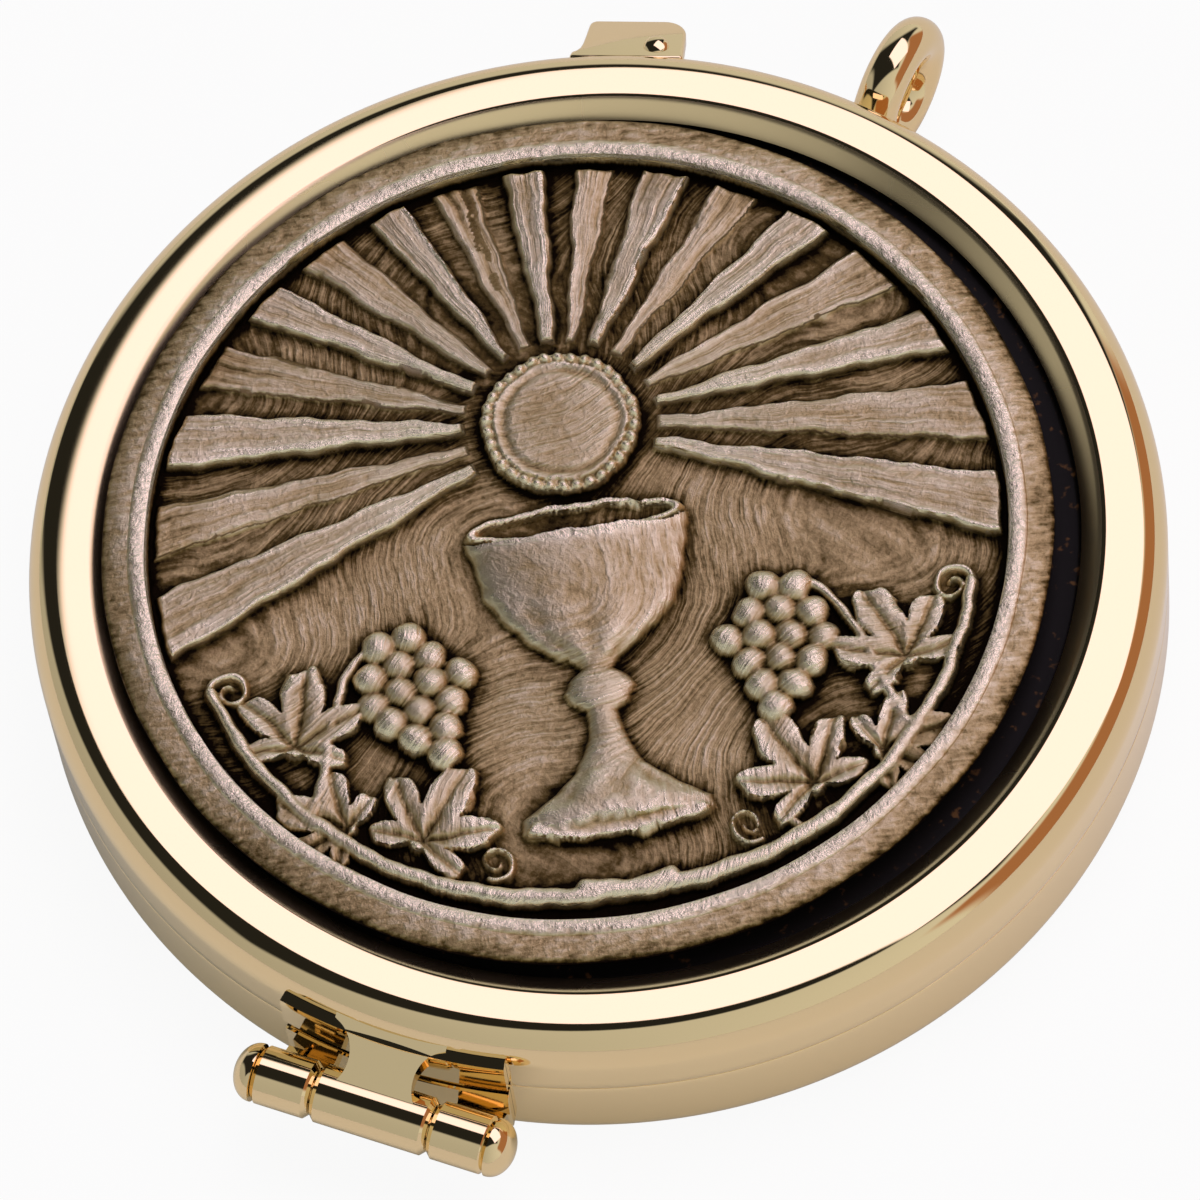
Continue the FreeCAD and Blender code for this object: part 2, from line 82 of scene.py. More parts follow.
# ------------------------------------------------------------------ studio
# One white softbox overhead to the right, a dark ceiling round it, pale walls, a warm light low
# on the right and a pale table. Polished metal mirrors them; the camera sees plain white.
SOFTBOX_ASIDE, SOFTBOX_AWAY = 26.0, 20.0     # degrees from straight up, to the right and beyond
SOFTBOX_TURN = 48.5                          # its long side's turn, clockwise from the right
SOFTBOX_LONG = (-0.55, 0.53)                 # reach of its edges, as tangents
SOFTBOX_SHORT = (-0.45, 0.30)
SOFTBOX_STRENGTH = 1.5
SOFTBOX_LIGHT = (1.0, 0.83, 1.12)            # its white, a little pink beside the room's
SOFTBOX_BLUR = 0.03
CEILING_SIDES = (-0.80, 0.62)                # dark between these sines, leftmost to rightmost
CEILING_DEPTH = (-0.32, 0.84)                # and from nearest to farthest
CEILING_HEIGHT = (0.10, 1.1)
CEILING_BLUR = 0.05
CEILING_STRENGTH = 0.008
WALL_STRENGTH = 0.57
WALL_LEAN = 0.16                             # the right wall is brighter than the left by this
WARM_SIDES, WARM_DEPTH, WARM_HEIGHT = (0.62, 1.1), (-0.62, 0.62), (-0.15, 0.60)
WARM_BLUR = 0.06
WARM_LIGHT = "#FFB17F"                       # warm light low on the right
WARM_STRENGTH = 0.38
TABLE_GREY = "#D2D0CC"
TABLE_SIZE = 1200.0
TABLE_GLOW = 0.93                            # share of the table's white that is its own
TABLE_MIRRORED, ROOM_MIRRORED = 0.10, 0.01   # shares of that plain white which metal mirrors


def linear(hex_colour):
    """sRGB hex as a linear RGBA colour."""
    channels = [int(hex_colour[i:i + 2], 16) / 255 for i in (1, 3, 5)]
    return [c / 12.92 if c <= 0.04045 else ((c + 0.055) / 1.055) ** 2.4 for c in channels] + [1]


def add_node(tree, kind, settings=None, links=None):
    """Adds a node, sets its properties or inputs by name and links outputs into its inputs."""
    node = tree.nodes.new(kind)
    for name, value in (settings or {}).items():
        if isinstance(name, int) or name in node.inputs:
            node.inputs[name].default_value = value
        else:
            setattr(node, name, value)
    for name, source in (links or {}).items():
        tree.links.new(source, node.inputs[name])
    return node


def studio_direction(aside, beyond):
    """Direction leaning from straight up by degrees to the camera's right and away from it."""
    lean = level_right * math.tan(math.radians(aside)) + away * math.tan(math.radians(beyond))
    return (lean + Vector((0, 0, 1))).normalized()


def room_patch(tree, looked, axes, reaches, blur, facing=None):
    """1 where the direction looked along each axis lies in its reach, 0 outside, blurred. The
    reaches are sines, or tangents where facing, the part towards the patch, is given."""
    patch = None
    for axis, (low, high) in zip(axes, reaches):
        part = add_node(tree, "ShaderNodeVectorMath", {"operation": "DOT_PRODUCT", 1: axis},
                        {0: looked}).outputs["Value"]
        if facing is not None:
            part = add_node(tree, "ShaderNodeMath", {"operation": "DIVIDE"},
                            {0: part, 1: facing}).outputs[0]
        offset = add_node(tree, "ShaderNodeMath", {"operation": "SUBTRACT", 1: (low + high) / 2},
                          {0: part})
        distance = add_node(tree, "ShaderNodeMath", {"operation": "ABSOLUTE"},
                            {0: offset.outputs[0]})
        band = add_node(tree, "ShaderNodeMapRange",
                        {"interpolation_type": "SMOOTHSTEP", "From Min": (high - low) / 2 + blur,
                         "From Max": (high - low) / 2 - blur},
                        {"Value": distance.outputs[0]}).outputs["Result"]
        if patch is not None:
            band = add_node(tree, "ShaderNodeMath", {"operation": "MULTIPLY"},
                            {0: patch, 1: band}).outputs[0]
        patch = band
    return patch


def plain_share(tree, path, seen, mirrored):
    """Share of plain white: one for what the camera sees, one for what metal and glass show."""
    total = add_node(tree, "ShaderNodeMath", {"operation": "MULTIPLY", 1: seen},
                     {0: path.outputs["Is Camera Ray"]})
    for ray in ("Is Glossy Ray", "Is Transmission Ray"):
        total = add_node(tree, "ShaderNodeMath", {"operation": "MULTIPLY_ADD", 1: mirrored},
                         {0: path.outputs[ray], 2: total.outputs[0]})
    return total.outputs[0]


world = bpy.data.worlds.new("studio")
bpy.context.scene.world = world
world.use_nodes = True
tree = world.node_tree
tree.nodes.clear()
sky = add_node(tree, "ShaderNodeTexCoord").outputs["Generated"]
box_middle = studio_direction(SOFTBOX_ASIDE, SOFTBOX_AWAY)
turn = math.radians(SOFTBOX_TURN)
box_long = level_right * math.cos(turn) - away * math.sin(turn)
box_long = (box_long - box_middle * box_long.dot(box_middle)).normalized()
box_short = box_middle.cross(box_long)
towards_box = add_node(tree, "ShaderNodeVectorMath", {"operation": "DOT_PRODUCT", 1: box_middle},
                       {0: sky})
facing = add_node(tree, "ShaderNodeMath", {"operation": "MAXIMUM", 1: 0.001},
                  {0: towards_box.outputs["Value"]}).outputs[0]
softbox = room_patch(tree, sky, (box_long, box_short), (SOFTBOX_LONG, SOFTBOX_SHORT),
                     SOFTBOX_BLUR, facing)
room_axes = (level_right, away, (0, 0, 1))
ceiling = room_patch(tree, sky, room_axes, (CEILING_SIDES, CEILING_DEPTH, CEILING_HEIGHT),
                     CEILING_BLUR)
warm = room_patch(tree, sky, room_axes, (WARM_SIDES, WARM_DEPTH, WARM_HEIGHT), WARM_BLUR)
to_right = add_node(tree, "ShaderNodeVectorMath", {"operation": "DOT_PRODUCT", 1: level_right},
                    {0: sky})
wall = add_node(tree, "ShaderNodeMapRange",
                {"From Min": -1.0, "From Max": 1.0, "To Min": WALL_STRENGTH - WALL_LEAN,
                 "To Max": WALL_STRENGTH + WALL_LEAN}, {"Value": to_right.outputs["Value"]})
level = wall.outputs["Result"]
for mask, strength in ((ceiling, CEILING_STRENGTH), (warm, WARM_STRENGTH),
                       (softbox, SOFTBOX_STRENGTH)):
    level = add_node(tree, "ShaderNodeMix", {"data_type": "FLOAT", "B": strength},
                     {"Factor": mask, "A": level}).outputs["Result"]
tint = add_node(tree, "ShaderNodeMixRGB", {"Color1": (1, 1, 1, 1), "Color2": linear(WARM_LIGHT)},
                {"Fac": warm}).outputs[0]
tint = add_node(tree, "ShaderNodeMixRGB", {"Color2": (*SOFTBOX_LIGHT, 1)},
                {"Fac": softbox, "Color1": tint}).outputs[0]
studio = add_node(tree, "ShaderNodeBackground", links={"Strength": level, "Color": tint})
plain = add_node(tree, "ShaderNodeBackground", {"Color": (1, 1, 1, 1), "Strength": 1.0})
path = add_node(tree, "ShaderNodeLightPath")
mixed = add_node(tree, "ShaderNodeMixShader", links={
    0: plain_share(tree, path, 1.0, ROOM_MIRRORED), 1: studio.outputs[0], 2: plain.outputs[0]})
add_node(tree, "ShaderNodeOutputWorld", links={"Surface": mixed.outputs[0]})

bpy.ops.object.select_all(action="DESELECT")
bpy.ops.mesh.primitive_plane_add(size=TABLE_SIZE * MM, location=(0, 0, 0))
table = bpy.context.object
table.name = "table"
# matt white card: it takes the case's soft shadow and mirrors nothing
table_paint = bpy.data.materials.new("pale_table")
table_paint.use_nodes = True
tree = table_paint.node_tree
tree.nodes.clear()
matt = add_node(tree, "ShaderNodeBsdfDiffuse", {"Color": linear(TABLE_GREY)})
glow = add_node(tree, "ShaderNodeEmission", {"Color": (1, 1, 1, 1), "Strength": 1.0})
path = add_node(tree, "ShaderNodeLightPath")
both = add_node(tree, "ShaderNodeMixShader", links={
    0: plain_share(tree, path, TABLE_GLOW, TABLE_MIRRORED), 1: matt.outputs[0], 2: glow.outputs[0]})
add_node(tree, "ShaderNodeOutputMaterial", links={"Surface": both.outputs[0]})
table.data.materials.append(table_paint)

FILL_SIZE, FILL_DISTANCE = 0.5, 0.8          # metres
FILL_WATTS = 3.0
FILL_ASIDE, FILL_AWAY = 10.0, 10.0
lamp_data = bpy.data.lights.new("fill", "AREA")
lamp_data.size = FILL_SIZE
lamp_data.energy = FILL_WATTS
lamp = bpy.data.objects.new("fill", lamp_data)
bpy.context.scene.collection.objects.link(lamp)
lamp_place = studio_direction(FILL_ASIDE, FILL_AWAY) * FILL_DISTANCE
lamp.matrix_world = (Matrix.Translation(lamp_place)
                     @ lamp_place.to_track_quat("Z", "Y").to_matrix().to_4x4())
lamp.visible_glossy = False


# ------------------------------------------------------------------ base shell
# The lower half: a dish drawn from one sheet of brass, its lower edge rolled round, polished
# outside, satin inside and gold plated. The lid closes on its upper edge.
CASE_RADIUS = 27.0
SHELL_WALL = 0.7
SEAM = 5.4
BASE_CORNER = 1.8
SEAM_EDGE = 0.03                # broken edge at the seam
FLAT_STEP, FLAT_END = 12.0, 24.6         # rings of vertices across the flat floor
WALL_STEPS = (2.2, 3.6, 5.0)    # and up the straight wall
FACE_MARGIN = 0.01              # allowed when faces are picked by their place
SPIN_STEPS = 256
GOLD = "#F7E0AE"
POLISH_ROUGHNESS, SATIN_ROUGHNESS = 0.05, 0.28
POLISH_RIPPLE, SATIN_RIPPLE = 0.015, 0.05
GLOSS_CHANGE = 0.3              # roughness changes by this share from place to place
RIPPLE = 6.0                    # mm between the faint ripples of the polishing wheel
RIPPLE_DEPTH = 0.1              # mm, before the two strengths above
GLUE_CLOT = 0.5                 # mm, a speck in the adhesive
GLUE_CLOTTED = (0.63, 0.74)     # a speck shows where the noise passes these
GLUE_BLACK, GLUE_BROWN = "#0A0705", "#4E3319"
GLUE_ROUGHNESS, GLUE_SHEEN = 0.55, 0.2


def bend(centre, radius_r, radius_z, start, end, steps):
    """Points along a round or elliptical arc in the (r, z) section, from one angle to another."""
    angles = np.radians(np.linspace(start, end, steps + 1))
    return [(centre[0] + radius_r * math.cos(a), centre[1] + radius_z * math.sin(a))
            for a in angles]


def edit(piece):
    """Opens one piece in edit mode with nothing selected."""
    bpy.ops.object.select_all(action="DESELECT")
    bpy.context.view_layer.objects.active = piece
    piece.select_set(True)
    bpy.ops.object.mode_set(mode="EDIT")
    bpy.ops.mesh.select_all(action="DESELECT")


def merged(piece, smooth_angle=32.0):
    """Merges doubles, turns faces outwards and shades smooth except at hard edges."""
    edit(piece)
    bpy.ops.mesh.select_all(action="SELECT")
    bpy.ops.mesh.remove_doubles(threshold=1e-7)
    bpy.ops.mesh.normals_make_consistent(inside=False)
    bpy.ops.object.mode_set(mode="OBJECT")
    bpy.ops.object.shade_smooth_by_angle(angle=math.radians(smooth_angle))
    return piece


def spun(name, section, axis="Z", centre=(0, 0, 0), steps=SPIN_STEPS):
    """Turns a closed (radius, height) section once round an axis through centre; all in mm."""
    bpy.ops.object.select_all(action="DESELECT")
    bpy.ops.mesh.primitive_circle_add(vertices=len(section), radius=MM)
    piece = bpy.context.object
    piece.name = name
    middle = Vector(centre) * MM
    for vertex, (radius, height) in zip(piece.data.vertices, section):
        step = (radius, 0, height) if axis == "Z" else (height, 0, radius)
        vertex.co = middle + Vector(step) * MM
    edit(piece)
    bpy.ops.mesh.select_all(action="SELECT")
    bpy.ops.mesh.spin(steps=steps, angle=2 * math.pi, center=middle,
                      axis=(0, 0, 1) if axis == "Z" else (1, 0, 0))
    bpy.ops.object.mode_set(mode="OBJECT")
    return merged(piece)


def gilt(name, roughness, ripple):
    """Gold-plated brass: pale yellow metal with faint ripples and slight changes of gloss."""
    paint = bpy.data.materials.new(name)
    paint.use_nodes = True
    tree = paint.node_tree
    tree.nodes.clear()
    place = add_node(tree, "ShaderNodeTexCoord").outputs["Object"]
    waves = add_node(tree, "ShaderNodeTexNoise", {"Scale": 1 / (RIPPLE * MM), "Detail": 1.0},
                     {"Vector": place})
    bump = add_node(tree, "ShaderNodeBump", {"Strength": ripple, "Distance": RIPPLE_DEPTH * MM},
                    {"Height": waves.outputs["Fac"]})
    gloss = add_node(tree, "ShaderNodeMapRange", {"To Min": roughness * (1 - GLOSS_CHANGE),
                                                  "To Max": roughness * (1 + GLOSS_CHANGE)},
                     {"Value": waves.outputs["Fac"]})
    metal = add_node(tree, "ShaderNodeBsdfPrincipled",
                     {"Base Color": linear(GOLD), "Metallic": 1.0},
                     {"Roughness": gloss.outputs["Result"], "Normal": bump.outputs["Normal"]})
    add_node(tree, "ShaderNodeOutputMaterial", links={"Surface": metal.outputs[0]})
    return paint


# buffed on a wheel before plating: nearly a mirror, which shows the whole room
polished_gilt = gilt("gilt_brass_polished", POLISH_ROUGHNESS, POLISH_RIPPLE)
# plated as drawn: the soft sheen of the base's inside, without clear reflections
satin_gilt = gilt("gilt_brass_satin", SATIN_ROUGHNESS, SATIN_RIPPLE)

# set adhesive: dull black with a few brown clots
black_glue = bpy.data.materials.new("black_adhesive")
black_glue.use_nodes = True
tree = black_glue.node_tree
tree.nodes.clear()
place = add_node(tree, "ShaderNodeTexCoord").outputs["Object"]
clots = add_node(tree, "ShaderNodeTexNoise", {"Scale": 1 / (GLUE_CLOT * MM), "Detail": 3.0},
                 {"Vector": place})
specks = add_node(tree, "ShaderNodeMapRange",
                  {"From Min": GLUE_CLOTTED[0], "From Max": GLUE_CLOTTED[1]},
                  {"Value": clots.outputs["Fac"]}).outputs["Result"]
colour = add_node(tree, "ShaderNodeMixRGB",
                  {"Color1": linear(GLUE_BLACK), "Color2": linear(GLUE_BROWN)},
                  {"Fac": specks}).outputs[0]
glue = add_node(tree, "ShaderNodeBsdfPrincipled",
                {"Roughness": GLUE_ROUGHNESS, "Specular IOR Level": GLUE_SHEEN},
                {"Base Color": colour})
add_node(tree, "ShaderNodeOutputMaterial", links={"Surface": glue.outputs[0]})

inner_radius = CASE_RADIUS - SHELL_WALL
corner = (CASE_RADIUS - BASE_CORNER, BASE_CORNER)
edge = (CASE_RADIUS - SEAM_EDGE, SEAM - SEAM_EDGE)
inner_edge = (inner_radius + SEAM_EDGE, SEAM - SEAM_EDGE)
base_shell = spun("base_dish", (
    [(0, 0), (FLAT_STEP, 0), (FLAT_END, 0)]
    + bend(corner, BASE_CORNER, BASE_CORNER, -90, 0, 16)
    + [(CASE_RADIUS, height) for height in WALL_STEPS]
    + bend(edge, SEAM_EDGE, SEAM_EDGE, 0, 90, 3)
    + bend(inner_edge, SEAM_EDGE, SEAM_EDGE, 90, 180, 3)
    + [(inner_radius, WALL_STEPS[1])]
    + bend(corner, BASE_CORNER - SHELL_WALL, BASE_CORNER - SHELL_WALL, 0, -90, 12)
    + [(FLAT_STEP, SHELL_WALL), (0, SHELL_WALL)]))
base_shell.data.materials.append(polished_gilt)
base_shell.data.materials.append(satin_gilt)
for face in base_shell.data.polygons:
    middle = face.center / MM
    if math.hypot(middle.x, middle.y) < inner_radius + FACE_MARGIN and middle.z > SHELL_WALL * 0.9:
        face.material_index = 1
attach(base_shell, "base")
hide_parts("base_shell")


# ------------------------------------------------------------------ base collar
# A ring turned from brass and soldered inside the base wall. It stands above the seam, drawn in
# a little, and the lid closes over it; plated with the base and left satin like its inside.
COLLAR_FILM = 0.02              # solder between it and the base wall
COLLAR_PLAY = 0.12              # between it and the lid
COLLAR_WALL = 0.5
COLLAR_LOW, COLLAR_HIGH = 2.4, 7.1
COLLAR_EDGE = 0.15

fixed, free = inner_radius - COLLAR_FILM, inner_radius - COLLAR_PLAY
inside = free - COLLAR_WALL
collar = spun("collar_ring", (
    [(inside, COLLAR_LOW), (fixed, COLLAR_LOW), (fixed, SEAM), (free, SEAM + 0.05)]
    + bend((free - COLLAR_EDGE, COLLAR_HIGH - COLLAR_EDGE), COLLAR_EDGE, COLLAR_EDGE, 0, 90, 4)
    + bend((inside + COLLAR_EDGE, COLLAR_HIGH - COLLAR_EDGE), COLLAR_EDGE, COLLAR_EDGE,
           90, 180, 4)))
collar.data.materials.append(satin_gilt)
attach(collar, "base")
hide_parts("base_collar")


# ------------------------------------------------------------------ cord ring
# A closed ring of thick brass wire, bent round and soldered shut, then soldered upright to the
# base wall on a flared foot of solder. It is polished with the base and takes a cord.
RING_AZIMUTH = 82.3             # from +X
RING_LOOP, RING_WIRE = 2.6, 1.1
RING_FROM_WALL = 0.15
RING_HEIGHT = 3.8               # of the loop's middle
FOOT_RADIUS = 1.25
FOOT_FLARE = 0.45
FOOT_SUNK = 0.15                # its base inside the wall, so that no gap shows
WIRE_SWELL, SWELL_REACH = 0.22, 0.9      # share by which the wire thickens at the wall


def joined(name, pieces):
    """Joins meshes into one piece."""
    bpy.ops.object.select_all(action="DESELECT")
    for piece in pieces:
        piece.select_set(True)
    bpy.context.view_layer.objects.active = pieces[0]
    bpy.ops.object.join()
    pieces[0].name = name
    return pieces[0]


bpy.ops.object.select_all(action="DESELECT")
bpy.ops.mesh.primitive_torus_add(major_radius=RING_LOOP * MM, minor_radius=RING_WIRE * MM,
                                 major_segments=120, minor_segments=40)
wire = bpy.context.object
middle_out = CASE_RADIUS + RING_FROM_WALL + RING_LOOP + RING_WIRE
wire.data.transform(Matrix.Translation(Vector((middle_out, 0, RING_HEIGHT)) * MM)
                    @ Matrix.Rotation(math.pi / 2, 4, "X"))
for vertex in wire.data.vertices:       # the wire thickens into its solder
    out = vertex.co.x / MM - CASE_RADIUS
    vertex.co.y *= 1 + WIRE_SWELL * math.exp(-(out / SWELL_REACH) ** 2)
foot = spun("foot", (
    [(0, CASE_RADIUS - FOOT_SUNK), (FOOT_RADIUS + FOOT_FLARE, CASE_RADIUS - FOOT_SUNK)]
    + bend((FOOT_RADIUS + FOOT_FLARE, CASE_RADIUS + 0.05 + FOOT_FLARE), FOOT_FLARE, FOOT_FLARE,
           -90, -180, 8)
    + [(FOOT_RADIUS - 0.1, CASE_RADIUS + 0.8), (0, CASE_RADIUS + 0.9)]),
    axis="X", centre=(0, 0, RING_HEIGHT), steps=64)
cord_ring = joined("cord_ring_wire", [wire, foot])
cord_ring.data.transform(Matrix.Rotation(math.radians(RING_AZIMUTH), 4, "Z"))
merged(cord_ring, 40.0)
cord_ring.data.materials.append(polished_gilt)
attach(cord_ring, "base")
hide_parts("cord_ring")


# ------------------------------------------------------------------ lid shell
# The upper half: a cap drawn from the same sheet. Its shoulder rolls over into a narrow
# polished rim, and inside that the sheet is pressed down into a seat for the medallion.
LID_BOTTOM = 5.45
SHOULDER_WIDTH = 1.55
SHOULDER_DROP = 2.1
RIM_WIDTH = 1.25
RIM_CROWN = 0.01                # rise of the rim's middle over its edges
RIM_INNER_ROUND = 0.9
SEAT_SLOPE = 36.0               # degrees, inside the rim
SEAT_SLOPE_WIDTH = 0.72
SLOPE_START = 0.3               # the slope's satin starts this far inside the rim
RECESS_DEPTH = 1.3
RECESS_CORNER = 0.2
UNDER_ROUND = 0.2
LID_WALL_STEPS = (5.9, 6.9)     # rings of vertices up the straight wall

shoulder_z = RIM_TOP - SHOULDER_DROP
rim_outer = CASE_RADIUS - SHOULDER_WIDTH
rim_inner = rim_outer - RIM_WIDTH
round_middle = (rim_inner, RIM_TOP - RIM_CROWN - RIM_INNER_ROUND)
recess_radius = rim_inner - RIM_INNER_ROUND * math.sin(math.radians(SEAT_SLOPE)) - SEAT_SLOPE_WIDTH
slope_foot = (round_middle[1] + RIM_INNER_ROUND * math.cos(math.radians(SEAT_SLOPE))
              - SEAT_SLOPE_WIDTH * math.tan(math.radians(SEAT_SLOPE)))
seat_z = RIM_TOP - RECESS_DEPTH
seat_round = (recess_radius - RECESS_CORNER, seat_z + RECESS_CORNER)
under_z = RIM_TOP - SHELL_WALL
under_middle = (recess_radius + SHELL_WALL + UNDER_ROUND, under_z - UNDER_ROUND)
crown_steps = np.linspace(0, 1, 9)[1:-1]
crown = [(rim_outer - RIM_WIDTH * t, RIM_TOP - RIM_CROWN * (2 * t - 1) ** 2) for t in crown_steps]
lid_shell = spun("lid_cap", (
    [(inner_radius, LID_BOTTOM), (CASE_RADIUS - SEAM_EDGE, LID_BOTTOM)]
    + bend((CASE_RADIUS - SEAM_EDGE, LID_BOTTOM + SEAM_EDGE), SEAM_EDGE, SEAM_EDGE, -90, 0, 3)[1:]
    + [(CASE_RADIUS, height) for height in LID_WALL_STEPS]
    + bend((rim_outer, shoulder_z), SHOULDER_WIDTH, SHOULDER_DROP - RIM_CROWN, 0, 90, 28)
    + crown
    + bend(round_middle, RIM_INNER_ROUND, RIM_INNER_ROUND, 90, 90 + SEAT_SLOPE, 12)
    + [(recess_radius, slope_foot)]
    + bend(seat_round, RECESS_CORNER, RECESS_CORNER, 0, -90, 5)
    + [(FLAT_STEP, seat_z), (0, seat_z), (0, seat_z - SHELL_WALL),
       (FLAT_STEP, seat_z - SHELL_WALL)]
    + bend(seat_round, RECESS_CORNER + SHELL_WALL, RECESS_CORNER + SHELL_WALL, -90, 0, 6)
    + bend(under_middle, UNDER_ROUND, UNDER_ROUND, 180, 90, 4)
    + bend((rim_outer, shoulder_z), SHOULDER_WIDTH - SHELL_WALL, SHOULDER_DROP - SHELL_WALL,
           90, 0, 10)))
lid_shell.data.materials.append(polished_gilt)
lid_shell.data.materials.append(black_glue)
lid_shell.data.materials.append(satin_gilt)
for face in lid_shell.data.polygons:
    middle = face.center / MM
    out = math.hypot(middle.x, middle.y)
    if out < recess_radius + FACE_MARGIN and seat_z - 0.1 < middle.z < slope_foot:
        face.material_index = 1         # the seat's floor and lower wall are made dull black like the adhesive
    elif out < rim_inner - SLOPE_START and middle.z > seat_z - 0.1:
        face.material_index = 2         # the wheel doesn't reach the slope
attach(lid_shell, "lid")
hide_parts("lid_shell")


# ------------------------------------------------------------------ medallion
# A disc cast in pewter from a hand-cut original: a host with its rays over a chalice, between
# two grape vines, in a plain sloping border with a bead. It was blackened and rubbed bright.
MEDALLION_SHIFT = (-0.70, -0.38)
MEDALLION_RADIUS = 22.5
MEDALLION_DRAFT = 0.57          # the casting's edge widens this much from its underside up
MEDALLION_BOTTOM = 8.3
BEAD_TOP = 10.2
BEAD_RISE = 0.12
BEAD_WIDTH = 0.85
BAND_WIDTH = 1.25
BAND_DROP = 0.13
BAND_ROUND = 0.28               # of the casting's outer edge
BORDER_INSIDE = 0.12            # the border's hidden inner wall stands this far inside the bead
BORDER_LUMPS, BORDER_SWAY = 0.035, 0.025     # how uneven its top and outline are
FIELD_DEPTH = 1.1
DESIGN_TURN = 28.0              # the design's upright, turned from +Y towards -X
FIELD_OVERLAP = 0.25            # the field runs this far under the bead
FIELD_CELL = 0.32               # mm, before the steep places are divided
STEEP = (0.42, 0.90)            # slopes past which a cell is divided once and twice
SLOPE_STEP = 0.05               # mm over which a slope is measured
CAVITY_CELL = 0.1               # mm, grid on which hollows and rises are found
NEAR_CELLS, WIDE_CELLS = 4, 16  # half widths of the surroundings that a point is compared with

WAVER = 0.05                    # mm, the hand's unsteadiness in every outline
HOST = (0.0, 6.0)
HOST_RADIUS = 3.9
PEARLS = 34                     # ring of pearls round the host
PEARL_CIRCLE = 3.5
PEARL_RADIUS = 0.30
RAYS = 17
RAY_FAN = 236.0                 # degrees that the rays spread over
RAY_FILL = 0.66                 # share of each ray's pitch that is solid
GRAPE_RADIUS = 0.88
# heights and half widths of the chalice's outline, from its foot to its lip
CHALICE = ((-15.2, 4.6), (-14.5, 4.5), (-14.1, 3.9), (-13.4, 2.9), (-12.4, 1.7), (-11.2, 1.05),
           (-10.0, 0.8), (-9.4, 0.85), (-9.0, 1.35), (-8.3, 1.7), (-7.6, 1.35), (-7.2, 0.85),
           (-6.7, 1.2), (-6.2, 2.0), (-5.4, 3.1), (-4.2, 4.1), (-2.6, 4.8), (-1.0, 5.1), (0.6, 5.4))

band_z = BEAD_TOP - BEAD_RISE
field_z = BEAD_TOP - FIELD_DEPTH
band_inner = MEDALLION_RADIUS - BAND_WIDTH
field_radius = band_inner - BEAD_WIDTH


def smooth_step(value, low, high):
    """0 below low, 1 above high, smooth between."""
    share = np.clip((value - low) / (high - low), 0, 1)
    return share * share * (3 - 2 * share)


def dome(distance, radius):
    """Height of a half-round bar of that radius at a distance from its middle line."""
    return np.sqrt(np.clip(radius ** 2 - distance ** 2, 0, None))


def curve_points(start, handle_a, handle_b, end, count=260):
    """Points along one Bezier curve."""
    t = np.linspace(0, 1, count)[:, None]
    p = [np.array(point, float) for point in (start, handle_a, handle_b, end)]
    return ((1 - t) ** 3 * p[0] + 3 * (1 - t) ** 2 * t * p[1]
            + 3 * (1 - t) * t ** 2 * p[2] + t ** 3 * p[3])


def spiral_points(centre, radius, start, turns, count=160):
    """Points along a closing spiral."""
    t = np.linspace(0, 1, count)
    angle = np.radians(start) + t * turns * 2 * np.pi
    reach = radius * (1 - 0.75 * t)
    return np.stack([centre[0] + reach * np.cos(angle), centre[1] + reach * np.sin(angle)], 1)


def stem(x, y, points, thick, thin, lift):
    """Tapered round stem along points; height above the field."""
    height = np.zeros_like(x)
    low, high = points.min(0) - thick, points.max(0) + thick
    near = np.flatnonzero((x > low[0]) & (x < high[0]) & (y > low[1]) & (y < high[1]))
    for part in np.array_split(near, max(1, len(near) // 4000)):
        gap = np.hypot(x[part, None] - points[None, :, 0], y[part, None] - points[None, :, 1])
        closest = gap.argmin(1)
        radius = thick + (thin - thick) * closest / (len(points) - 1)
        distance = gap[np.arange(len(part)), closest]
        height[part] = np.where(distance < radius,
                                lift * smooth_step(radius - distance, 0, 0.15)
                                + dome(distance, radius), 0)
    return height


def leaf(x, y, root, size, facing):
    """Five-lobed vine leaf with sunk veins, from its root in a facing direction."""
    turn = math.radians(facing)
    ahead = (x - root[0]) * math.cos(turn) + (y - root[1]) * math.sin(turn)
    aside = -(x - root[0]) * math.sin(turn) + (y - root[1]) * math.cos(turn)
    reach = np.hypot(ahead, aside)
    angle = np.degrees(np.arctan2(aside, ahead))
    # each lobe's direction, its share of the size, and its half width in degrees
    lobes = ((0, 1.0, 34), (52, 0.86, 30), (-52, 0.86, 30), (104, 0.62, 32), (-104, 0.62, 32))
    outline = np.full_like(x, 0.16)
    vein = np.full_like(x, 9.0)
    for middle, length, width in lobes:
        offset = np.abs(angle - middle)
        outline = np.maximum(outline, length * (1 - (offset / width) ** 2 * 0.75))
        sideways = reach * np.abs(np.sin(np.radians(np.minimum(offset, 90))))
        vein = np.minimum(vein, np.where(offset < 60, sideways, 9.0))
    outline = size * outline * (1 + 0.035 * np.sin(np.radians(angle * 17)))
    share = reach / outline
    inside = smooth_step(outline - reach, 0, 0.22)
    curl = 0.34 + 0.20 * np.sin(np.clip(share, 0, 1) * 2.4) + 0.10 * aside / size
    ribs = 0.13 * (1 - smooth_step(vein, 0.02, 0.20)) - 0.05 * smooth_step(vein, 0.2, 0.7)
    return inside * (curl - ribs)


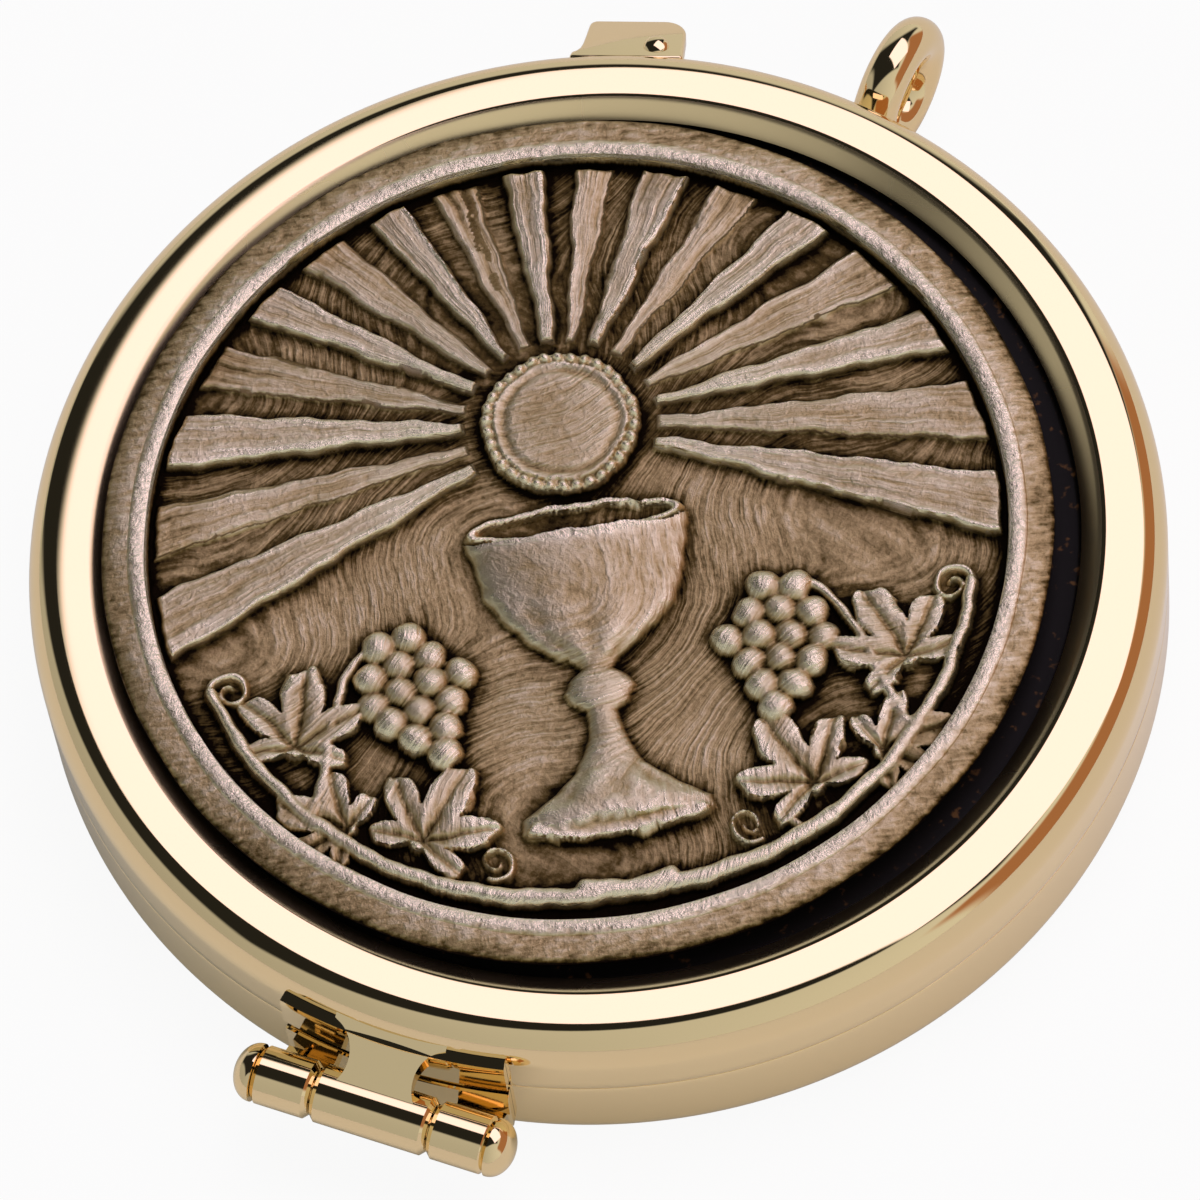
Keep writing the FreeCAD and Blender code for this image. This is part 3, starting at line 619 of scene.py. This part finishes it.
def grapes(x, y, top, rows, facing):
    """Hanging bunch of round grapes in overlapping rows."""
    height = np.zeros_like(x)
    turn = math.radians(facing)
    down = np.array([math.cos(turn), math.sin(turn)])
    across = np.array([-down[1], down[0]])
    for row, count in enumerate(rows):
        for place in range(count):
            lean = place - (count - 1) / 2
            centre = (np.array(top) + down * (row * 1.28 + 0.14 * abs(lean))
                      + across * (lean * 1.46 + 0.16 * math.sin(row * 2.3)))
            distance = np.hypot(x - centre[0], y - centre[1])
            rise = 0.10 + 0.12 * math.cos(lean * 1.1) + 0.05 * math.sin(row * 3.1 + place * 2.2)
            height = np.maximum(height, np.where(distance < GRAPE_RADIUS,
                                                 rise + 0.72 * dome(distance, GRAPE_RADIUS), 0))
    return height


def rays(x, y):
    """Fan of hand-cut bars from the host out to the bead, and the direction of their grain."""
    dx, dy = x - HOST[0], y - HOST[1]
    out = np.hypot(dx, dy)
    angle = np.degrees(np.arctan2(-dx, dy)) + RAY_FAN / 2
    pitch = RAY_FAN / RAYS
    index = np.clip(np.floor(angle / pitch), 0, RAYS - 1)
    offset = angle - (index + 0.5) * pitch
    wide = pitch * RAY_FILL / 2 * (1 + 0.10 * np.sin(index * 2.4))
    side = out * np.radians(wide - np.abs(offset))
    side = side + 0.05 * np.sin(out * 1.3 + index * 1.7)
    rim = field_radius - 0.25 - np.hypot(x, y)
    inside = np.minimum(np.minimum(side, out - HOST_RADIUS - 0.6), rim)
    relief = 0.40 + 0.12 * np.cos(index * np.pi) + 0.07 * np.sin(index * 1.9)
    tilt = 0.10 * np.sin(index * 2.9) * offset / wide
    lines = np.sin(side * 7.5 + index * 2.0 + 0.9 * np.sin(out * 0.55 + index))
    grooves = 0.030 * lines - 0.05 * smooth_step(np.sin(side * 3.1 + index * 1.3), 0.90, 1.0)
    return smooth_step(inside, 0, 0.24) * (relief + tilt + grooves), out, np.radians(angle) * 12


def chalice(x, y):
    """Chalice in half relief: turned foot, stem, knop and fluted cup with an open mouth."""
    heights, widths = np.array(CHALICE).T
    wide = np.interp(y, heights, widths)
    share = np.clip(np.abs(x) / wide, 0, 1)
    swell = (0.95 * (wide / 5.4) ** 0.40 * np.sqrt(1 - share ** 2)
             + 0.05 * smooth_step(wide - np.abs(x), 0, 0.15))
    turned_angle = np.arcsin(np.clip(x / wide, -1, 1))
    flutes = np.abs(np.sin(turned_angle * 4.5))
    calyx = smooth_step(-3.3 + 0.9 * flutes - y, 0, 0.25) * smooth_step(y, -6.9, -6.5)
    foot_flutes = smooth_step(-12.4 - y, 0, 0.3) * smooth_step(y, -14.2, -13.9)
    swell = swell + (calyx + foot_flutes) * (0.10 * flutes - 0.06)
    lip = 0.07 * smooth_step(y, -0.35, -0.15)
    swell = np.where((y > heights[0]) & (y < heights[-1]) & (np.abs(x) < wide), swell + lip, 0)
    foot = 1 - np.hypot(x / 4.6, (y - heights[0]) / 0.85)
    foot_edge = np.where(y < heights[0] + 0.3, 0.62 * smooth_step(foot, 0, 0.10), 0)
    mouth = np.hypot(x / 5.4, (y - 0.6) / 0.95)
    opening = np.hypot(x / 4.85, (y - 0.6) / 0.62)
    mouth_height = 0.70 * smooth_step(1 - mouth, 0, 0.07) - 0.50 * smooth_step(1 - opening, 0, 0.12)
    swell = np.where(mouth < 1, np.maximum(mouth_height, np.where(y < 0.0, swell, 0)), swell)
    return np.maximum(swell, foot_edge)


def vine(x, y, side):
    """Vine up one side of the field: stem, leaves, a bunch of grapes and tendrils."""
    x = x * side
    sway = 1 if side > 0 else 0      # the two sides are cut alike, not mirrored exactly
    parts = [
        stem(x, y, curve_points((-2.0, -18.6), (7.6, -20.4), (15.6, -14.2), (18.0, -5.6)),
             0.60, 0.36, 0.30),
        stem(x, y, curve_points((14.0, -12.6), (12.6, -9.6), (12.6, -5.0), (9.6, -3.9)),
             0.40, 0.24, 0.25),
        stem(x, y, spiral_points((17.1, -5.6), 1.0, 10, 1.3), 0.24, 0.15, 0.25),
        stem(x, y, curve_points((8.8, -17.4), (7.6, -16.6), (7.4, -15.6), (8.4, -15.0)),
             0.30, 0.20, 0.22),
        stem(x, y, spiral_points((5.9, -16.4), 0.95, 300, -1.3), 0.20, 0.13, 0.22),
        leaf(x, y, (14.4, -9.0), 4.3, 104 + 8 * sway),
        leaf(x, y, (12.6, -13.6), 3.7, 30 - 14 * sway),
        leaf(x, y, (9.2, -14.8), 4.4, 128 - 10 * sway),
        grapes(x, y, (9.3 - 0.3 * sway, -4.3), (2, 3, 4, 3, 2, 1), -104 + 6 * sway),
    ]
    return np.maximum.reduce(parts)


def field_relief(x, y):
    """Height over the field at design coordinates, and two grain coordinates."""
    x, y = (x + WAVER * np.sin(1.9 * y + 0.8 * np.sin(1.1 * x))
            + WAVER / 2 * np.sin(5.3 * y + 2.0 * x),
            y + WAVER * np.sin(2.1 * x + 0.9 * np.sin(1.3 * y))
            + WAVER / 2 * np.sin(4.7 * x - 1.8 * y))
    ground = 0.030 * np.sin(x * 0.9 + 1.3 * np.sin(y * 0.5)) * np.sin(y * 1.1 + 0.7)
    ray_height, grain_along, grain_across = rays(x, y)
    host_gap = np.hypot(x - HOST[0], y - HOST[1])
    host = (smooth_step(HOST_RADIUS - host_gap, 0, 0.22)
            * (0.74 + 0.05 * (1 - host_gap / HOST_RADIUS)))
    host = host - 0.14 * np.exp(-((host_gap - 2.75) / 0.16) ** 2) * (host_gap < HOST_RADIUS)
    pearl_angle = np.arctan2(y - HOST[1], x - HOST[0]) * PEARLS / (2 * np.pi)
    pearl_side = (pearl_angle - np.round(pearl_angle)) * 2 * np.pi * PEARL_CIRCLE / PEARLS
    pearl = dome(np.hypot(pearl_side, host_gap - PEARL_CIRCLE), PEARL_RADIUS)
    host = np.maximum(host - 0.16 * (host_gap > PEARL_CIRCLE - PEARL_RADIUS) * (host > 0),
                      np.where(pearl > 0, 0.5 + 1.1 * pearl, 0))
    raised = np.maximum.reduce([ray_height, host, chalice(x, y), vine(x, y, 1), vine(x, y, -1)])
    height = ground + raised
    on_ray = (ray_height > 0.15) & (ray_height >= raised)
    u, v = x + 2.6 * np.sin(0.45 * y + 0.7), y + 2.6 * np.sin(0.40 * x + 1.0)
    along = np.where(on_ray, grain_along, (u + v) * 0.9)
    across = np.where(on_ray, grain_across, (v - u) * 0.45)
    return height, along, across


def to_design(co):
    """Design coordinates of model points given in metres."""
    turn = math.radians(DESIGN_TURN)
    x, y = co[:, 0] / MM - MEDALLION_SHIFT[0], co[:, 1] / MM - MEDALLION_SHIFT[1]
    return x * math.cos(turn) + y * math.sin(turn), -x * math.sin(turn) + y * math.cos(turn)


def coordinates(mesh):
    """Vertex coordinates of a mesh as an array."""
    co = np.empty(len(mesh.vertices) * 3)
    mesh.vertices.foreach_get("co", co)
    return co.reshape(-1, 3)


reach = field_radius + FIELD_OVERLAP
centre = Vector((*MEDALLION_SHIFT, 0)) * MM
bpy.ops.object.select_all(action="DESELECT")
cells = int(2 * reach / FIELD_CELL)
bpy.ops.mesh.primitive_grid_add(x_subdivisions=cells, y_subdivisions=cells, size=2 * reach * MM,
                                location=centre + Vector((0, 0, field_z * MM)))
field = bpy.context.object
field.name = "medallion_field"
bpy.ops.object.transform_apply(location=True, rotation=True, scale=True)
for limit in STEEP:
    x, y = to_design(coordinates(field.data))
    base = field_relief(x, y)[0]
    slope = np.hypot(field_relief(x + SLOPE_STEP, y)[0] - base,
                     field_relief(x, y + SLOPE_STEP)[0] - base) / SLOPE_STEP
    steep = (slope > limit) & (np.hypot(x, y) < reach)
    edit(field)
    bpy.ops.object.mode_set(mode="OBJECT")
    for face in field.data.polygons:
        face.select = any(steep[v] for v in face.vertices)
    bpy.ops.object.mode_set(mode="EDIT")
    bpy.ops.mesh.subdivide(number_cuts=1)
    bpy.ops.object.mode_set(mode="OBJECT")
co = coordinates(field.data)
x, y = to_design(co)
outside = np.hypot(x, y) > reach
edit(field)
bpy.ops.object.mode_set(mode="OBJECT")
field.data.vertices.foreach_set("select", outside)
bpy.ops.object.mode_set(mode="EDIT")
bpy.ops.mesh.delete(type="VERT")
bpy.ops.mesh.select_all(action="SELECT")
bpy.ops.mesh.region_to_loop()
field_down = (0, 0, (MEDALLION_BOTTOM - field_z) * MM)
bpy.ops.mesh.extrude_edges_move(TRANSFORM_OT_translate={"value": field_down})
bpy.ops.mesh.edge_face_add()
bpy.ops.object.mode_set(mode="OBJECT")
co = coordinates(field.data)
x, y = to_design(co)
height, grain_along, grain_across = field_relief(x, y)
upper = co[:, 2] > (field_z - 0.01) * MM
co[upper, 2] = (field_z + height[upper]) * MM
field.data.vertices.foreach_set("co", co.ravel())

bead = (field_radius + BEAD_WIDTH / 2, band_z)
band_edge = band_z - BAND_DROP
band_corner = (MEDALLION_RADIUS - BAND_ROUND, band_edge - BAND_ROUND)
border = spun("medallion_casting", (
    bend(bead, BEAD_WIDTH / 2, BEAD_RISE, 0, 150, 10)
    + [(field_radius - 0.04, band_z - 0.18), (field_radius - BORDER_INSIDE, field_z - 0.05),
       (field_radius - BORDER_INSIDE, MEDALLION_BOTTOM),
       (MEDALLION_RADIUS - MEDALLION_DRAFT, MEDALLION_BOTTOM)]
    + bend(band_corner, BAND_ROUND, BAND_ROUND, -20, 80, 8)
    + [(MEDALLION_RADIUS - 0.6, band_z - BAND_DROP * 0.55),
       (band_inner + 0.3, band_z - BAND_DROP * 0.15)]),
    centre=(*MEDALLION_SHIFT, 0), steps=360)
for vertex in border.data.vertices:     # a hand-cut border is never quite even
    x, y, z = (vertex.co - centre) / MM
    around = math.atan2(y, x)
    if z > band_edge - 0.1:
        lump = (math.sin(11 * around + 1.4 * math.sin(5 * around))
                * math.cos(2.4 * math.hypot(x, y) + 3 * around))
        vertex.co.z -= BORDER_LUMPS * (1 + lump) * MM
    sway = math.sin(7 * around + 2.0 * math.sin(3 * around)) + 0.6 * math.sin(23 * around + z)
    if math.hypot(x, y) > field_radius:
        vertex.co.x -= BORDER_SWAY * (1 + sway) * math.cos(around) * MM
        vertex.co.y -= BORDER_SWAY * (1 + sway) * math.sin(around) * MM
bpy.ops.object.select_all(action="DESELECT")
field.select_set(True)
border.select_set(True)
bpy.context.view_layer.objects.active = border
bpy.ops.object.join()
merged(border, 60.0)


def casting_top(x, y):
    """Height of the casting's top over the table at design coordinates."""
    radius = np.hypot(x, y)
    outer = np.interp(radius, (field_radius, field_radius + 0.1, bead[0], band_inner,
                               MEDALLION_RADIUS), (field_z, band_z, BEAD_TOP, band_z, band_edge))
    return np.where(radius < field_radius, field_z + field_relief(x, y)[0], outer)


def blurred(grid, reach):
    """Grid averaged over a square of 2 * reach + 1 cells, twice."""
    span = 2 * reach + 1
    for axis in (0, 1, 0, 1):
        edges = [(reach + 1, reach) if a == axis else (0, 0) for a in (0, 1)]
        wide = np.pad(grid, edges, mode="edge")
        sums = np.cumsum(wide, axis=axis)
        grid = (np.take(sums, range(span, sums.shape[axis]), axis)
                - np.take(sums, range(sums.shape[axis] - span), axis)) / span
    return grid


def read_grid(grid, x, y):
    """Value of a grid over the casting at design coordinates, between its nearest cells."""
    column, row = [np.clip((v + MEDALLION_RADIUS) / CAVITY_CELL, 0, len(grid) - 1.001)
                   for v in (x, y)]
    c, r = column.astype(int), row.astype(int)
    u, v = column - c, row - r
    return ((grid[r, c] * (1 - u) + grid[r, c + 1] * u) * (1 - v)
            + (grid[r + 1, c] * (1 - u) + grid[r + 1, c + 1] * u) * v)


line = np.arange(-MEDALLION_RADIUS, MEDALLION_RADIUS, CAVITY_CELL)
top = casting_top(*[v.ravel() for v in np.meshgrid(line, line)]).reshape(len(line), len(line))
co = coordinates(border.data)
x, y = to_design(co)
height, grain_along, grain_across = field_relief(x, y)
on_border = np.hypot(x, y) > field_radius
# near_rise and wide_rise: how far each point stands above or sinks below its surroundings; the
# pewter paints shade into the sunk places from them
columns = {"near_rise": co[:, 2] / MM - read_grid(blurred(top, NEAR_CELLS), x, y),
           "wide_rise": co[:, 2] / MM - read_grid(blurred(top, WIDE_CELLS), x, y),
           "grain_along": np.where(on_border, 5.0 * x, grain_along),
           "grain_across": np.where(on_border, 0.5 * y, grain_across)}
for name, values in columns.items():
    border.data.attributes.new(name, "FLOAT", "POINT").data.foreach_set("value", values)


def weighed(tree, sources, weights):
    """Sum of the named outputs, each times its weight."""
    total = None
    for name, weight in weights.items():
        term = add_node(tree, "ShaderNodeMath", {"operation": "MULTIPLY", 1: weight},
                        {0: sources[name]}).outputs[0]
        if total is not None:
            term = add_node(tree, "ShaderNodeMath", {"operation": "ADD"},
                            {0: total, 1: term}).outputs[0]
        total = term
    return total


# the ramp's black end is patina with painted shade: every hollow is darkened as if shaded
PATINA_AND_SHADE_BLACK, RUBBED_BRIGHT = "#181109", "#FCF3CF"
PATINA_AND_SHADE_BETWEEN = ((0.22, "#66552F"), (0.5, "#C4AE7C"))
STROKE = (10 / 3, 0.3125)       # mm, length and width of the graver's strokes
FINE_STROKE = (0.7, 2.6, 1.0)   # of their coordinates: scratches are longer and narrower
PIT, WIPED = 0.35, 5.0          # mm, casting pits, and places wiped more or less
RUBBED_AND_SHADED_BY = {"near_rise": 1.6, "wide_rise": 0.55, "hatching": 0.60, "pitting": 0.45,
             "scratches": 0.55, "wiping": 0.30}
RUBBED_AND_SHADED_REACH = (0.47, 1.36)     # sums of these from black to bright
CUT_BY = {"hatching": 1.0, "scratches": 0.5, "pitting": 0.9}
CUT_DEPTH = 0.08                # mm
DULL_ROUGHNESS, RUBBED_ROUGHNESS = 0.60, 0.24
# cast pewter, blackened in acid and rubbed bright: dark brown hollows, their patina deepened
# by painted shade, warm grey flats with strokes and pits, and bright edges that are also the
# smoothest places
pewter = bpy.data.materials.new("antique_pewter")
pewter.use_nodes = True
tree = pewter.node_tree
tree.nodes.clear()
place = add_node(tree, "ShaderNodeTexCoord").outputs["Object"]
look = {name: add_node(tree, "ShaderNodeAttribute", {"attribute_name": name}).outputs["Fac"]
        for name in columns}
grain = add_node(tree, "ShaderNodeCombineXYZ", links={"X": look["grain_along"],
                                                      "Y": look["grain_across"]})
strokes = add_node(tree, "ShaderNodeVectorMath",
                   {"operation": "MULTIPLY", 1: (1 / STROKE[0], 1 / STROKE[1], 0)},
                   {0: grain.outputs[0]}).outputs[0]
fine_strokes = add_node(tree, "ShaderNodeVectorMath", {"operation": "MULTIPLY", 1: FINE_STROKE},
                        {0: strokes}).outputs[0]
for name, read_at, settings in (
        ("hatching", strokes, {"Scale": 1.0, "Detail": 4.0, "Roughness": 0.6}),
        ("scratches", fine_strokes, {"Scale": 1.0, "Detail": 2.0}),
        ("pitting", place, {"Scale": 1 / (PIT * MM), "Detail": 5.0, "Roughness": 0.7}),
        ("wiping", place, {"Scale": 1 / (WIPED * MM), "Detail": 3.0})):
    look[name] = add_node(tree, "ShaderNodeTexNoise", settings, {"Vector": read_at}).outputs["Fac"]
# the rise measures paint shade into the hollows, on top of the patina, and leave the rises rubbed
# bright
share = add_node(tree, "ShaderNodeMapRange",
                 {"From Min": RUBBED_AND_SHADED_REACH[0], "From Max": RUBBED_AND_SHADED_REACH[1]},
                 {"Value": weighed(tree, look, RUBBED_AND_SHADED_BY)}).outputs["Result"]
patina_and_shade = add_node(tree, "ShaderNodeValToRGB", links={"Fac": share})
patina_and_shade_stops = patina_and_shade.color_ramp.elements
patina_and_shade_stops[0].color, patina_and_shade_stops[-1].color = linear(PATINA_AND_SHADE_BLACK), linear(RUBBED_BRIGHT)
for position, colour in PATINA_AND_SHADE_BETWEEN:
    patina_and_shade_stops.new(position).color = linear(colour)
dull = add_node(tree, "ShaderNodeMapRange",
                {"To Min": DULL_ROUGHNESS, "To Max": RUBBED_ROUGHNESS}, {"Value": share})
bump = add_node(tree, "ShaderNodeBump", {"Strength": 1.0, "Distance": CUT_DEPTH * MM},
                {"Height": weighed(tree, look, CUT_BY)})
metal = add_node(tree, "ShaderNodeBsdfPrincipled", {"Metallic": 1.0},
                 {"Base Color": patina_and_shade.outputs["Color"], "Roughness": dull.outputs["Result"],
                  "Normal": bump.outputs["Normal"]})
add_node(tree, "ShaderNodeOutputMaterial", links={"Surface": metal.outputs[0]})
border.data.materials.clear()
border.data.materials.append(pewter)
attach(border, "lid")
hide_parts("medallion")


# ------------------------------------------------------------------ medallion bond
# A thin layer of dull black adhesive, spread on the seat's floor short of the casting's edge,
# that holds the casting.
BOND_RADIUS, BOND_BULGE = 21.3, 0.05
bond = spun("adhesive_disc", [(0, seat_z), (BOND_RADIUS, seat_z),
                              (BOND_RADIUS + BOND_BULGE, seat_z + BOND_BULGE),
                              (BOND_RADIUS, MEDALLION_BOTTOM), (0, MEDALLION_BOTTOM)],
            centre=(*MEDALLION_SHIFT, 0), steps=128)
bond.data.materials.append(black_glue)
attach(bond, "lid")
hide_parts("medallion_bond")


# ------------------------------------------------------------------ thumb tab
# A flat lip of brass, soldered to the lid's shoulder and sloping down: straight and rounded on
# its right, flared into the shoulder on its left. A drop of solder is left at its root.
TAB_AZIMUTH = 107.4
TAB_ROOT = 8.6                  # height of its top where it leaves the wall
TAB_REACH, TAB_DROOP = 2.65, 1.5
TAB_THICKNESS = 0.8
TAB_RIGHT = -2.85
TAB_TIP_LEFT = 1.95
TAB_ROUND, TAB_LEFT_ROUND = 1.1, 0.4
# its left side from there to the wall, as distance out from the axis and distance aside
TAB_FLARE = ((28.3, 2.05), (27.7, 2.13), (27.3, 2.24), (27.08, 2.40), (26.93, 2.62), (26.5, 2.7))
TAB_EDGE = 0.16                 # its edges are eased by this
SOLDER_DROP = (27.35, -1.5)     # out from the axis, and aside
DROP_RADIUS, DROP_HEIGHT = 0.62, 0.34

tab_fall = TAB_DROOP / TAB_REACH
tab_tip = CASE_RADIUS + TAB_REACH
outline = ([(26.5, TAB_RIGHT)]
           + bend((tab_tip - TAB_ROUND, TAB_RIGHT + TAB_ROUND), TAB_ROUND, TAB_ROUND, -90, 0, 10)
           + bend((tab_tip - TAB_LEFT_ROUND, TAB_TIP_LEFT - TAB_LEFT_ROUND), TAB_LEFT_ROUND,
                  TAB_LEFT_ROUND, 0, 90, 6)
           + list(TAB_FLARE))
bpy.ops.object.select_all(action="DESELECT")
bpy.ops.mesh.primitive_circle_add(vertices=len(outline), radius=MM, fill_type="NGON")
lip = bpy.context.object
for vertex, (out, aside) in zip(lip.data.vertices, outline):
    vertex.co = Vector((out, aside, TAB_ROOT - (out - CASE_RADIUS) * tab_fall)) * MM
edit(lip)
bpy.ops.mesh.select_all(action="SELECT")
down = Vector((tab_fall, 0, 1)).normalized() * -TAB_THICKNESS * MM
bpy.ops.mesh.extrude_region_move(TRANSFORM_OT_translate={"value": down})
bpy.ops.object.mode_set(mode="OBJECT")
soft = lip.modifiers.new("soft_edges", "BEVEL")
soft.width, soft.segments, soft.limit_method = TAB_EDGE * MM, 4, "ANGLE"
bpy.ops.object.modifier_apply(modifier=soft.name)
drop_z = TAB_ROOT - (SOLDER_DROP[0] - CASE_RADIUS) * tab_fall
drop = spun("drop", bend((0, drop_z), DROP_RADIUS, DROP_HEIGHT, -90, 90, 16),
            centre=(*SOLDER_DROP, 0), steps=32)
tab = joined("thumb_lip", [lip, drop])
tab.data.transform(Matrix.Rotation(math.radians(TAB_AZIMUTH), 4, "Z"))
merged(tab, 40.0)
tab.data.materials.append(polished_gilt)
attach(tab, "lid")
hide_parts("thumb_tab")


# ------------------------------------------------------------------ hinge
# Three knuckles of brass rod on one pin with domed heads. The middle knuckle hangs from the
# lid's shoulder by a sloping waisted plate, the outer two from a leaf on the base wall.
HINGE_OUT = 2.6                 # case wall to the pin's middle
HINGE_Z = 5.425
KNUCKLE, BORE, PIN = 1.4, 0.65, 0.6      # radii
KNUCKLE_CHAMFER = 0.25
MIDDLE_HALF = 2.85
OUTER_SPAN = (2.95, 5.80)
HEAD_START, HEAD_DOME = 5.82, 1.1
HEAD_RIM = 0.06                 # straight edge under each dome
HINGE_STEPS = 96
LEAF_HALF = 5.45
LEAF_FILM, LEAF_THICKNESS = 0.02, 0.45
LID_LEAF_EDGE, BASE_LEAF_EDGE = 0.08, 0.1
PLATE_PLAY = 0.12               # middle plate to the outer ones
LID_LEAF = 5.75                 # lower edge
LEAF_TOP_OUTSIDE, LEAF_TOP_INSIDE = 13.0, 19.3       # degrees up the shoulder, a bevelled edge
BASE_LEAF = (1.8, 5.15)         # lower and upper edge
PLATE_TOP = 8.15                # the plate's top at the case wall
PLATE_THICKNESS = 0.84          # measured upright
PLATE_FALL = 0.591              # the plate's slope: it meets the knuckle just behind its top
PLATE_END = 2.36                # it ends inside the knuckle's wall, clear of the bore
BORE_CLEAR = 0.95               # its underside stays this far from the pin's middle
HOLLOW_OUT, HOLLOW_RADIUS, HOLLOW_ASIDE = 1.4, 1.5, 3.1   # hollow in each of its sides
LID_PLATE_START, WEB_START = -0.35, 0.1      # out from the wall, where the two plates begin

hinge_middle = (0, -CASE_RADIUS - HINGE_OUT, HINGE_Z)


def arc_plate(name, section, half_width):
    """Closed (radius, height) section swept round the case over the hinge side."""
    reach = math.asin(half_width / CASE_RADIUS)
    bpy.ops.object.select_all(action="DESELECT")
    bpy.ops.mesh.primitive_circle_add(vertices=len(section), radius=MM)
    piece = bpy.context.object
    piece.name = name
    start = -math.pi / 2 + reach    # the spin turns clockwise
    for vertex, (radius, height) in zip(piece.data.vertices, section):
        vertex.co = Vector((radius * math.cos(start), radius * math.sin(start), height)) * MM
    edit(piece)
    bpy.ops.mesh.select_all(action="SELECT")
    bpy.ops.mesh.spin(steps=40, angle=2 * reach, center=(0, 0, 0), axis=(0, 0, 1))
    bpy.ops.mesh.select_all(action="SELECT")
    bpy.ops.mesh.fill_holes(sides=0)
    bpy.ops.object.mode_set(mode="OBJECT")
    return merged(piece)


def sloping_plate(name, left, right, start, mirrored):
    """Plate between the case and a knuckle, between left and right edges given as functions of
    the distance out; mirrored below the hinge axis for the base."""
    bpy.ops.object.select_all(action="DESELECT")
    bpy.ops.mesh.primitive_grid_add(x_subdivisions=12, y_subdivisions=40, size=1.0)
    piece = bpy.context.object
    piece.name = name
    for vertex in piece.data.vertices:
        out = start + (vertex.co.y + 0.5) * (PLATE_END - start)
        share = vertex.co.x + 0.5
        vertex.co = Vector((left(out) * (1 - share) + right(out) * share, -CASE_RADIUS - out,
                            PLATE_TOP - PLATE_FALL * out)) * MM
    edit(piece)
    bpy.ops.mesh.select_all(action="SELECT")
    down = (0, 0, -PLATE_THICKNESS * MM)
    bpy.ops.mesh.extrude_region_move(TRANSFORM_OT_translate={"value": down})
    bpy.ops.object.mode_set(mode="OBJECT")
    for vertex in piece.data.vertices:
        out = -vertex.co.y / MM - CASE_RADIUS
        bore_side = HINGE_Z + math.sqrt(max(0.0, BORE_CLEAR ** 2 - (HINGE_OUT - out) ** 2))
        if vertex.co.z / MM < bore_side and out > HINGE_OUT - BORE_CLEAR:
            vertex.co.z = bore_side * MM
        if mirrored:
            vertex.co.z = 2 * HINGE_Z * MM - vertex.co.z
    return merged(piece)


def knuckle(name, start, end):
    """Bored knuckle along the pin, chamfered at both ends."""
    c = KNUCKLE_CHAMFER
    section = [(BORE, start), (KNUCKLE - c, start), (KNUCKLE, start + c), (KNUCKLE, end - c),
               (KNUCKLE - c, end), (BORE, end)]
    return spun(name, section, axis="X", centre=hinge_middle, steps=HINGE_STEPS)


def waist(out):
    """Half width of the lid's plate, hollowed on both sides."""
    inside = HOLLOW_RADIUS ** 2 - (out - HOLLOW_OUT) ** 2
    return min(MIDDLE_HALF - PLATE_PLAY, HOLLOW_ASIDE - math.sqrt(max(inside, 0)))


def finish_hinge(piece, body, node):
    """Gilds a hinge piece and hands it over."""
    piece.data.materials.clear()
    piece.data.materials.append(polished_gilt)
    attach(piece, body)
    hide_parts(node)


shoulder = (rim_outer, shoulder_z)
outer_wall, inner_wall = LEAF_FILM + LEAF_THICKNESS, LEAF_FILM
lid_leaf = arc_plate("lid_leaf", (
    [(CASE_RADIUS + inner_wall, LID_LEAF),
     (CASE_RADIUS + outer_wall - LID_LEAF_EDGE, LID_LEAF),
     (CASE_RADIUS + outer_wall, LID_LEAF + LID_LEAF_EDGE)]
    + bend(shoulder, SHOULDER_WIDTH + outer_wall, SHOULDER_DROP + outer_wall,
           0, LEAF_TOP_OUTSIDE, 6)
    + bend(shoulder, SHOULDER_WIDTH + inner_wall, SHOULDER_DROP + inner_wall,
           LEAF_TOP_INSIDE, 0, 6)), LEAF_HALF)
plate = sloping_plate("plate", lambda out: -waist(out), waist, LID_PLATE_START, False)
middle = knuckle("middle", -MIDDLE_HALF, MIDDLE_HALF)
finish_hinge(joined("lid_hinge_plate", [middle, plate, lid_leaf]), "lid", "lid_hinge_leaf")

leaf_in, leaf_out = CASE_RADIUS + inner_wall, CASE_RADIUS + outer_wall
base_leaf = arc_plate("base_leaf", [
    (leaf_in, BASE_LEAF[0]), (leaf_out - BASE_LEAF_EDGE, BASE_LEAF[0]),
    (leaf_out, BASE_LEAF[0] + BASE_LEAF_EDGE), (leaf_out, BASE_LEAF[1] - BASE_LEAF_EDGE),
    (leaf_out - BASE_LEAF_EDGE, BASE_LEAF[1]), (leaf_in, BASE_LEAF[1])], LEAF_HALF)
parts = [base_leaf]
for side in (-1, 1):
    near, far = sorted((side * (OUTER_SPAN[0] + PLATE_PLAY), side * LEAF_HALF))
    parts.append(sloping_plate("web", lambda out: near, lambda out: far, WEB_START, True))
    parts.append(knuckle("outer", *sorted((side * OUTER_SPAN[0], side * OUTER_SPAN[1]))))
finish_hinge(joined("base_hinge_plate", parts), "base", "base_hinge_leaf")

pin_side = ([(PIN, 0), (PIN, HEAD_START)]
            + bend((0, HEAD_START + HEAD_RIM), KNUCKLE, HEAD_DOME - HEAD_RIM, -3, 90, 20))
pin = spun("hinge_rivet", [(r, -x) for r, x in pin_side[:0:-1]] + pin_side[1:],
           axis="X", centre=hinge_middle, steps=HINGE_STEPS)
finish_hinge(pin, "base", "hinge_pin")
